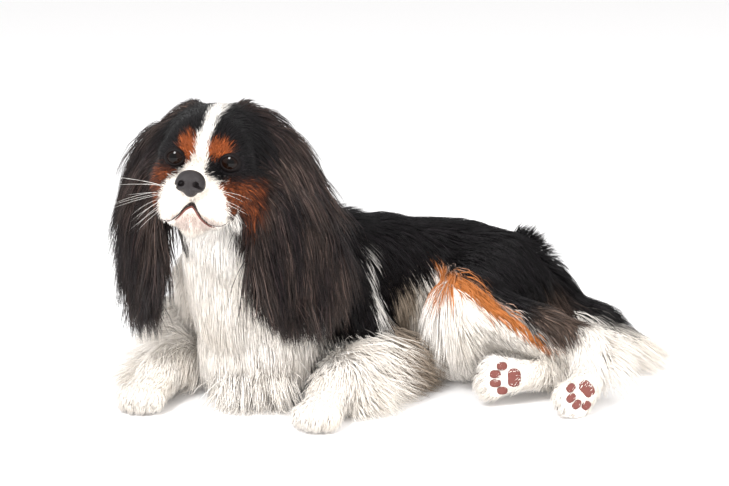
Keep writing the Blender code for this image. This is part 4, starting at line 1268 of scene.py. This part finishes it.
def build_eyes(settings):
    ball, quads = round_ball(14)
    # A wet eye: clear and very glossy over a dark brown iris, with one small highlight
    wet, tree, shader = new_material("wet_eye", 0.04, 1.376, 0.3)
    colour_by_marks(tree, shader, 0.9, 0.15)
    # Bare lid skin: dark, finely creased, moist at its edge
    lid_skin, lid_tree, lid_shader = new_material("lid_skin", 0.55, 1.4, 0.2, settings.lid)
    relief(lid_tree, lid_shader, "ShaderNodeTexNoise", 0.8, 3.0, 0.4, 0.3)
    pupil, iris, white = (np.array(linear(code)) for code in ("#040303", "#150a06", "#1a1210"))
    # Where the pupil and the iris end, in degrees from the gaze
    pupil_end, iris_end = 19, 44
    lid_half, lid_height = 1.6, 0.6
    wide, high = EYE_OPENING
    for side, name in SIDES:
        centre = eye_place(side)
        gaze = unit((-side * 0.12, 1.0, 0.02))
        off = np.degrees(np.arccos(np.clip(ball @ gaze, -1, 1)))[:, None]
        colours = pupil + (iris - pupil) * edge(off - pupil_end, 4) + (white - iris) * edge(off - iris_end, 5)
        points = centre + (ball * EYE_RADIUS) @ HEAD_TURN.T
        riding(mesh_object("eyeball_" + name, points, quads, wet, colours), "eye", "eye_" + name)
        # The lids, a flat ring on the eye round its opening
        angle = np.linspace(0, 2 * math.pi, 48, endpoint=False)
        x = (wide + lid_half * 0.8) * np.cos(angle)
        z = (high + lid_half * 0.8) * np.sin(angle) * (1 - 0.10 * np.cos(angle) ** 2)
        out = np.column_stack([x, np.sqrt(np.maximum(LID_RADIUS**2 - x**2 - z**2, 1.0)), z])
        rim = np.column_stack([np.cos(angle), -0.6 * np.ones(48), np.sin(angle)])
        path = centre + out @ HEAD_TURN.T
        points, faces = sweep(path, rim @ HEAD_TURN.T, lid_half, lid_height, closed=True)
        riding(mesh_object("lids_" + name, points, faces, lid_skin), "short_coat")


def build_nose(settings):
    # Nose leather: pebbled, moist, a soft sheen
    leather, tree, shader = new_material("nose_leather", 0.38, 1.45, 0.45, settings.leather)
    relief(tree, shader, "ShaderNodeTexVoronoi", 0.9, 0.0, 0.5, 0.25)
    cell = 0.55
    low = np.array([-17.0, 20.0, -34.0])
    axes = [np.arange(start, end, cell) for start, end in zip(low, (17, 50, 0))]
    grid = np.stack(np.meshgrid(*axes, indexing="ij"), axis=-1)
    front = np.array(NOSE, float)
    # Its middle, its two wings and its lower edge, then the groove, the nostrils and their side slits
    value = distance(grid, oval(front, (12, 8.5, 9.5)))
    for side in (1, -1):
        value = smooth_least(value, distance(grid, oval(front + (side * 7, 2, -2.5), (5.8, 6, 6))), 2.0)
    value = smooth_least(value, distance(grid, oval(front + (0, -1.5, -8), (5.5, 6, 5))), 3.0)
    cuts = [cone(front + (0, 9.4, 0), front + (0, 5.0, -13), 0.9, 1.0)]
    for side in (1, -1):
        cuts.append(cone(front + (side * 4.6, 11, -1), front + (side * 7.5, 3.5, -2), 2.6, 2.2))
        cuts.append(cone(front + (side * 8, 8, -3.5), front + (side * 12.5, 1.5, -4.5), 1.3, 1.0))
    for cut in cuts:
        value = -smooth_least(-value, distance(grid, cut), 0.9)
    points, quads = net(value, low, cell)
    points = HEAD_PLACE + points @ HEAD_TURN.T
    riding(mesh_object("nose_pad", points, quads, leather), "nose_leather", "nose")


def lip(name, line, lift, finish, widths, heights):
    """A smooth ridge along a line on the face, given as (left, up)."""
    body = body_now()
    path = np.array([body.onto_face(left, up, lift) for left, up in line])
    points, faces = sweep(path, np.tile(head_way(0, 1, 0), (len(path), 1)), widths, heights)
    riding(mesh_object(name, points, faces, finish), "nose_leather")


def build_mouth(settings):
    # Lip skin: bare, moist and dark at its edge. In the middle the same dark paints the shade in the gap
    # where the lips part.
    dark, _, _ = new_material("lip_edge", 0.35, 1.4, 0.4, settings.edge)
    # The lower lip: pink-brown skin with short hair beside it
    pink, _, _ = new_material("lower_lip", 0.45, 1.4, 0.35, settings.lower)
    line = mouth_line(60)
    # Fine towards the corners, and wider and deeper in the middle, where the dark ridge is painted shade in
    # the gap between the parted lips
    taper = np.sin(np.linspace(0.12, math.pi - 0.12, len(line))) ** 0.3
    middle = 0.9 * np.exp(-((line[:, 0] / 5) ** 2))
    lip("mouth_edge", line, 0.9, dark, taper, (0.5 + 1.2 * middle) * taper)
    inner = line[np.abs(line[:, 0] - 3) < 17] + (0, -2.0)
    taper = np.sin(np.linspace(0.08, math.pi - 0.08, len(inner))) ** 0.6
    lip("lower_lip", inner, 0.6, pink, 1.2 * taper, 1.1 * taper)


def build_whiskers(settings):
    rng = np.random.default_rng(11)
    body = body_now()
    # Whiskers: stiff white hair, glossy, tapering to nothing
    white, _, _ = new_material("whisker_hair", 0.3, 1.55, 0.5, settings.hue)
    rings = 5
    half_width = 0.08
    count = settings.count
    s = np.linspace(0, 1, rings + 1)[:, None]
    paths, normals = [], []
    for side in (1, -1):
        for k in range(count if side < 0 else count // 2):
            # Four rows, one under another, each running back along the muzzle
            row, spot = k % 4, k // 4 / max(count // 4, 1)
            root = body.onto_face(side * (19 + 9 * spot), -22 - 5 * row, 0.0)
            high = 0.12 - 0.27 * row + rng.uniform(-0.1, 0.1)
            way = head_way(side * 1.0, 0.35 - 0.5 * spot, high)
            length = settings.length / MM * rng.uniform(0.6, 1.1) * (1.0 if side < 0 else 0.7)
            droop = s**2 * rng.uniform(3, 11)
            back = head_way(0, -1, 0) * s**2 * rng.uniform(4, 12)
            paths.append(root + way * (s * length) - droop * (0, 0, 1) + back)
            normals.append(head_way(0, 1, 0.3))
    paths, normals = np.array(paths), np.array(normals)
    total = len(paths)
    points, faces, _, _ = tufts(paths, normals, np.full(total, half_width), np.ones((total, 3)),
                                np.zeros((total, 2)), np.ones(total))
    riding(mesh_object("whiskers", points, faces, white), "short_coat")


# Pads of a hind paw, as (across, towards the toes, width, length) in paw sizes
PADS = [
    (0.0, -0.18, 0.44, 0.34),
    (-0.57, 0.38, 0.19, 0.25),
    (-0.21, 0.70, 0.19, 0.27),
    (0.21, 0.70, 0.19, 0.27),
    (0.57, 0.38, 0.19, 0.25),
]


def pad_forms():
    """Pads of both hind paws, whose soles show, as (centre, turn, radii)."""
    rows = []
    for name in ("hind_left", "hind_right"):
        centre, toe, sole, size = PAWS[name]
        turn = paw_turn(toe, sole)
        for across, along, width, length in PADS:
            spot = centre + turn @ (across * size, along * size, -size * 0.50)
            rows.append((spot, turn, (width * size, length * size, size * 0.13)))
    return rows


def pad_places():
    return [(spot, max(radii) * 0.85) for spot, _, radii in pad_forms()]


def build_paws(settings):
    # Pad leather: thick, rough and matt, with a grain of small cones
    leather, tree, shader = new_material("pad_leather", 0.6, 1.45, 0.3, settings.pad)
    relief(tree, shader, "ShaderNodeTexVoronoi", 0.8, 0.0, 0.6, 0.3)
    ball, quads = round_ball(8)
    pads = []
    for spot, turn, radii in pad_forms():
        # Squared a little, as a pad pressed flat is
        shape = np.sign(ball) * np.abs(ball) ** 0.8
        pads.append((spot + (shape * radii) @ turn.T, quads))
    riding(mesh_object("paw_pads", *gathered(pads), leather), "nose_leather")
    # Claw horn: smooth and translucent, pale brown
    horn, _, _ = new_material("claw_horn", 0.35, 1.54, 0.45, settings.claw)
    length = settings.claw_length / MM
    s = np.linspace(0, 1, 7)[:, None]
    radius = 1.35 * (1 - s[:, 0] ** 1.6) + 0.12
    claws = []
    for centre, toe, sole, size in PAWS.values():
        turn = paw_turn(toe, sole)
        for across, reach in toe_places(size):
            root = centre + turn @ (across, reach + size * 0.36, -size * 0.10)
            path = root + (turn[:, 1] * s * 0.9 - turn[:, 2] * s**2 * 0.55) * length
            # No claw reaches through the floor
            path[:, 2] = np.maximum(path[:, 2], 1.2)
            claws.append(sweep(path, np.tile(turn[:, 0], (len(s), 1)), radius * 0.8, radius, sides=8))
    riding(mesh_object("claws", *gathered(claws), horn), "nose_leather")


def aimed(name, data, spot, target):
    """A lamp or camera at a place, turned to another, both in millimetres."""
    obj = bpy.data.objects.new(name, data)
    obj.location = place(spot)
    aim = Vector(place(target)) - obj.location
    obj.rotation_euler = aim.to_track_quat("-Z", "Y").to_euler()
    bpy.context.scene.collection.objects.link(obj)
    return obj


def build_stage(settings):
    # A pale studio sweep: matt paper
    paper, _, _ = new_material("pale_paper", 0.7, 1.45, 0.2, settings.paper)
    # Half the floor's side, and how far it lies under the paws
    half = 4000.0
    under = -0.3
    corners = [(-half, -half, under), (half, -half, under), (half, half, under), (-half, half, under)]
    mesh_object("floor", corners, [(0, 1, 2, 3)], paper)
    scene = bpy.context.scene
    world = bpy.data.worlds.new("studio")
    world.use_nodes = True
    sky = world.node_tree.nodes["Background"]
    sky.inputs["Color"].default_value = (1, 1, 1, 1)
    sky.inputs["Strength"].default_value = settings.surround
    scene.world = world
    for name, spot, size, power in (
        ("key", (-900, -1500, 1700), 600, settings.key),
        ("fill", (1500, -900, 1100), 1500, settings.fill),
        ("front", (-150, -2300, 420), 1300, settings.front),
    ):
        data = bpy.data.lights.new(name, "AREA")
        data.energy = power
        data.size = size * MM
        # Only the key light shows in the eyes
        aimed(name, data, spot, (-40, 0, 110)).visible_glossy = name == "key"
    data = bpy.data.cameras.new("camera")
    data.lens = settings.lens
    data.sensor_width = 36
    target = np.array([0, 0, 138.0])
    back = np.array([0, -math.cos(settings.elevation), math.sin(settings.elevation)])
    scene.camera = aimed("camera", data, target + back * settings.distance / MM, target)
    scene.view_settings.view_transform = "Standard"


# Settings


def hue(name, words, code):
    return bpy.props.FloatVectorProperty(
        name=name, description=words, default=linear(code), subtype="COLOR", size=3, min=0, max=1
    )


def length_of(name, words, metres):
    return bpy.props.FloatProperty(name=name, description=words, default=metres, min=0, unit="LENGTH")


def factor(name, words):
    return bpy.props.FloatProperty(
        name=name, description=words, default=1.0, min=0.2, max=3.0, subtype="FACTOR"
    )


def power_of(name, words, watts):
    return bpy.props.FloatProperty(name=name, description=words, default=watts, min=0, unit="POWER")


class SkinSettings(bpy.types.PropertyGroup):
    grain: length_of("Grain", "Size of the skin's mesh cells", 0.0024)


class CoatSettings(bpy.types.PropertyGroup):
    length: factor("Length", "Length of the hair, against the dog's own")
    thickness: factor("Thickness", "Thickness of each tuft")
    density: factor("Density", "How many tufts grow")
    seed: bpy.props.IntProperty(name="Seed", description="Picks where each tuft grows", default=7, min=0)
    black: hue("Black", "Back, crown and sides", "#0d0a0c")
    ear_brown: hue("Ear brown", "The ears' dark hair", "#1a1213")
    grey_brown: hue("Grey brown", "The turned hair behind the thigh", "#66554b")
    sandy: hue("Sandy", "The lock behind the elbow", "#84705a")
    tan: hue("Tan", "Brows and cheeks", "#8a4520")
    pale_tan: hue("Pale tan", "The stripe on the thigh", "#b8703a")
    white: hue("White", "Blaze, muzzle, bib and legs", "#faf5ef")
    # Cream is mixed in at random on the body and tail, on the chin, and as painted shade on the muzzle
    cream: hue("Cream", "The shaded white hair", "#ebdfcf")
    lip: hue("Lip pink", "The skin that shows at the lower lip", "#8a5a4e")


class EyeSettings(bpy.types.PropertyGroup):
    lid: hue("Lids", "The dark rim round each eye", "#0e0909")


class NoseSettings(bpy.types.PropertyGroup):
    leather: hue("Leather", "The nose", "#221d1e")


class MouthSettings(bpy.types.PropertyGroup):
    # The lip edge's dark also paints the shade in the gap where the lips part
    edge: hue("Lip edge", "The line of the mouth", "#1c1110")
    lower: hue("Lower lip", "The bare skin of the lower lip", "#6b4038")


class WhiskerSettings(bpy.types.PropertyGroup):
    count: bpy.props.IntProperty(name="Count", description="Whiskers on each side", default=14, min=4, max=40)
    length: length_of("Length", "Length of a whisker", 0.048)
    hue: hue("Colour", "The whiskers", "#f4f0ea")


class PawSettings(bpy.types.PropertyGroup):
    pad: hue("Pads", "The pads' leather", "#75453f")
    claw: hue("Claws", "The claws' horn", "#54463c")
    claw_length: length_of("Claw length", "How far a claw stands out", 0.0065)


class StageSettings(bpy.types.PropertyGroup):
    paper: hue("Paper", "The floor", "#fcfbfb")
    surround: bpy.props.FloatProperty(name="Surround", description="Strength of the even light", default=0.95)
    key: power_of("Key light", "Power of the main lamp", 46.0)
    fill: power_of("Fill light", "Power of the side lamp", 24.0)
    front: power_of("Front light", "Power of the lamp over the camera", 36.0)
    lens: bpy.props.FloatProperty(
        name="Lens", description="Focal length", default=100.0, unit="CAMERA", min=20, max=300
    )
    distance: length_of("Distance", "From the camera to the middle of the dog", 1.8)
    elevation: bpy.props.FloatProperty(
        name="Elevation", description="The camera's height angle", default=math.radians(12), subtype="ANGLE"
    )


# Operators


class SPANIEL_OT_skin(bpy.types.Operator):
    """Grow one skin over the whole dog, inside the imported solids"""

    bl_idname = "spaniel.skin"
    bl_label = "Skin"

    def execute(self, context):
        build_skin(context.scene.spaniel_coat)
        return {"FINISHED"}


class SPANIEL_OT_coat(bpy.types.Operator):
    """Grow the coat on the skin, in pieces"""

    bl_idname = "spaniel.coat"
    bl_label = "Coat"

    def execute(self, context):
        build_coat(context.scene.spaniel_coat)
        return {"FINISHED"}


class SPANIEL_OT_eyes(bpy.types.Operator):
    """Make the eyes and their lids"""

    bl_idname = "spaniel.eyes"
    bl_label = "Eyes"

    def execute(self, context):
        build_eyes(context.scene.spaniel_eyes)
        return {"FINISHED"}


class SPANIEL_OT_nose(bpy.types.Operator):
    """Make the nose leather with its nostrils"""

    bl_idname = "spaniel.nose"
    bl_label = "Nose"

    def execute(self, context):
        build_nose(context.scene.spaniel_nose)
        return {"FINISHED"}


class SPANIEL_OT_mouth(bpy.types.Operator):
    """Make the edge of the mouth and the lower lip"""

    bl_idname = "spaniel.mouth"
    bl_label = "Mouth"

    def execute(self, context):
        build_mouth(context.scene.spaniel_mouth)
        return {"FINISHED"}


class SPANIEL_OT_whiskers(bpy.types.Operator):
    """Set the whiskers in the muzzle"""

    bl_idname = "spaniel.whiskers"
    bl_label = "Whiskers"

    def execute(self, context):
        build_whiskers(context.scene.spaniel_whiskers)
        return {"FINISHED"}


class SPANIEL_OT_paws(bpy.types.Operator):
    """Make the pads of the hind paws and all the claws"""

    bl_idname = "spaniel.paws"
    bl_label = "Paws"

    def execute(self, context):
        build_paws(context.scene.spaniel_paws)
        return {"FINISHED"}


class SPANIEL_OT_stage(bpy.types.Operator):
    """Set the floor, the lights and the camera"""

    bl_idname = "spaniel.stage"
    bl_label = "Stage"

    def execute(self, context):
        build_stage(context.scene.spaniel_stage)
        return {"FINISHED"}


# Each piece's operator, with the name of its settings in the scene and their class
PIECES = [
    (SPANIEL_OT_skin, "spaniel_skin", SkinSettings),
    (SPANIEL_OT_coat, "spaniel_coat", CoatSettings),
    (SPANIEL_OT_eyes, "spaniel_eyes", EyeSettings),
    (SPANIEL_OT_nose, "spaniel_nose", NoseSettings),
    (SPANIEL_OT_mouth, "spaniel_mouth", MouthSettings),
    (SPANIEL_OT_whiskers, "spaniel_whiskers", WhiskerSettings),
    (SPANIEL_OT_paws, "spaniel_paws", PawSettings),
    (SPANIEL_OT_stage, "spaniel_stage", StageSettings),
]


class VIEW3D_PT_spaniel(bpy.types.Panel):
    """Lists the spaniel's pieces and their settings"""

    bl_idname = "VIEW3D_PT_spaniel"
    bl_label = "Spaniel"
    bl_space_type = "VIEW_3D"
    bl_region_type = "UI"
    bl_category = "Spaniel"

    def draw(self, context):
        for operator, name, group in PIECES:
            box = self.layout.box()
            box.operator(operator.bl_idname)
            for setting in group.__annotations__:
                box.prop(getattr(context.scene, name), setting)


def register():
    for operator, name, group in PIECES:
        bpy.utils.register_class(group)
        bpy.utils.register_class(operator)
        setattr(bpy.types.Scene, name, bpy.props.PointerProperty(type=group))
    bpy.utils.register_class(VIEW3D_PT_spaniel)


def unregister():
    bpy.utils.unregister_class(VIEW3D_PT_spaniel)
    for operator, name, group in reversed(PIECES):
        delattr(bpy.types.Scene, name)
        bpy.utils.unregister_class(operator)
        bpy.utils.unregister_class(group)


def main():
    register()
    for operator, _, _ in PIECES:
        getattr(bpy.ops.spaniel, operator.bl_idname.split(".")[1])()
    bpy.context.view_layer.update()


if __name__ == "__main__":
    main()
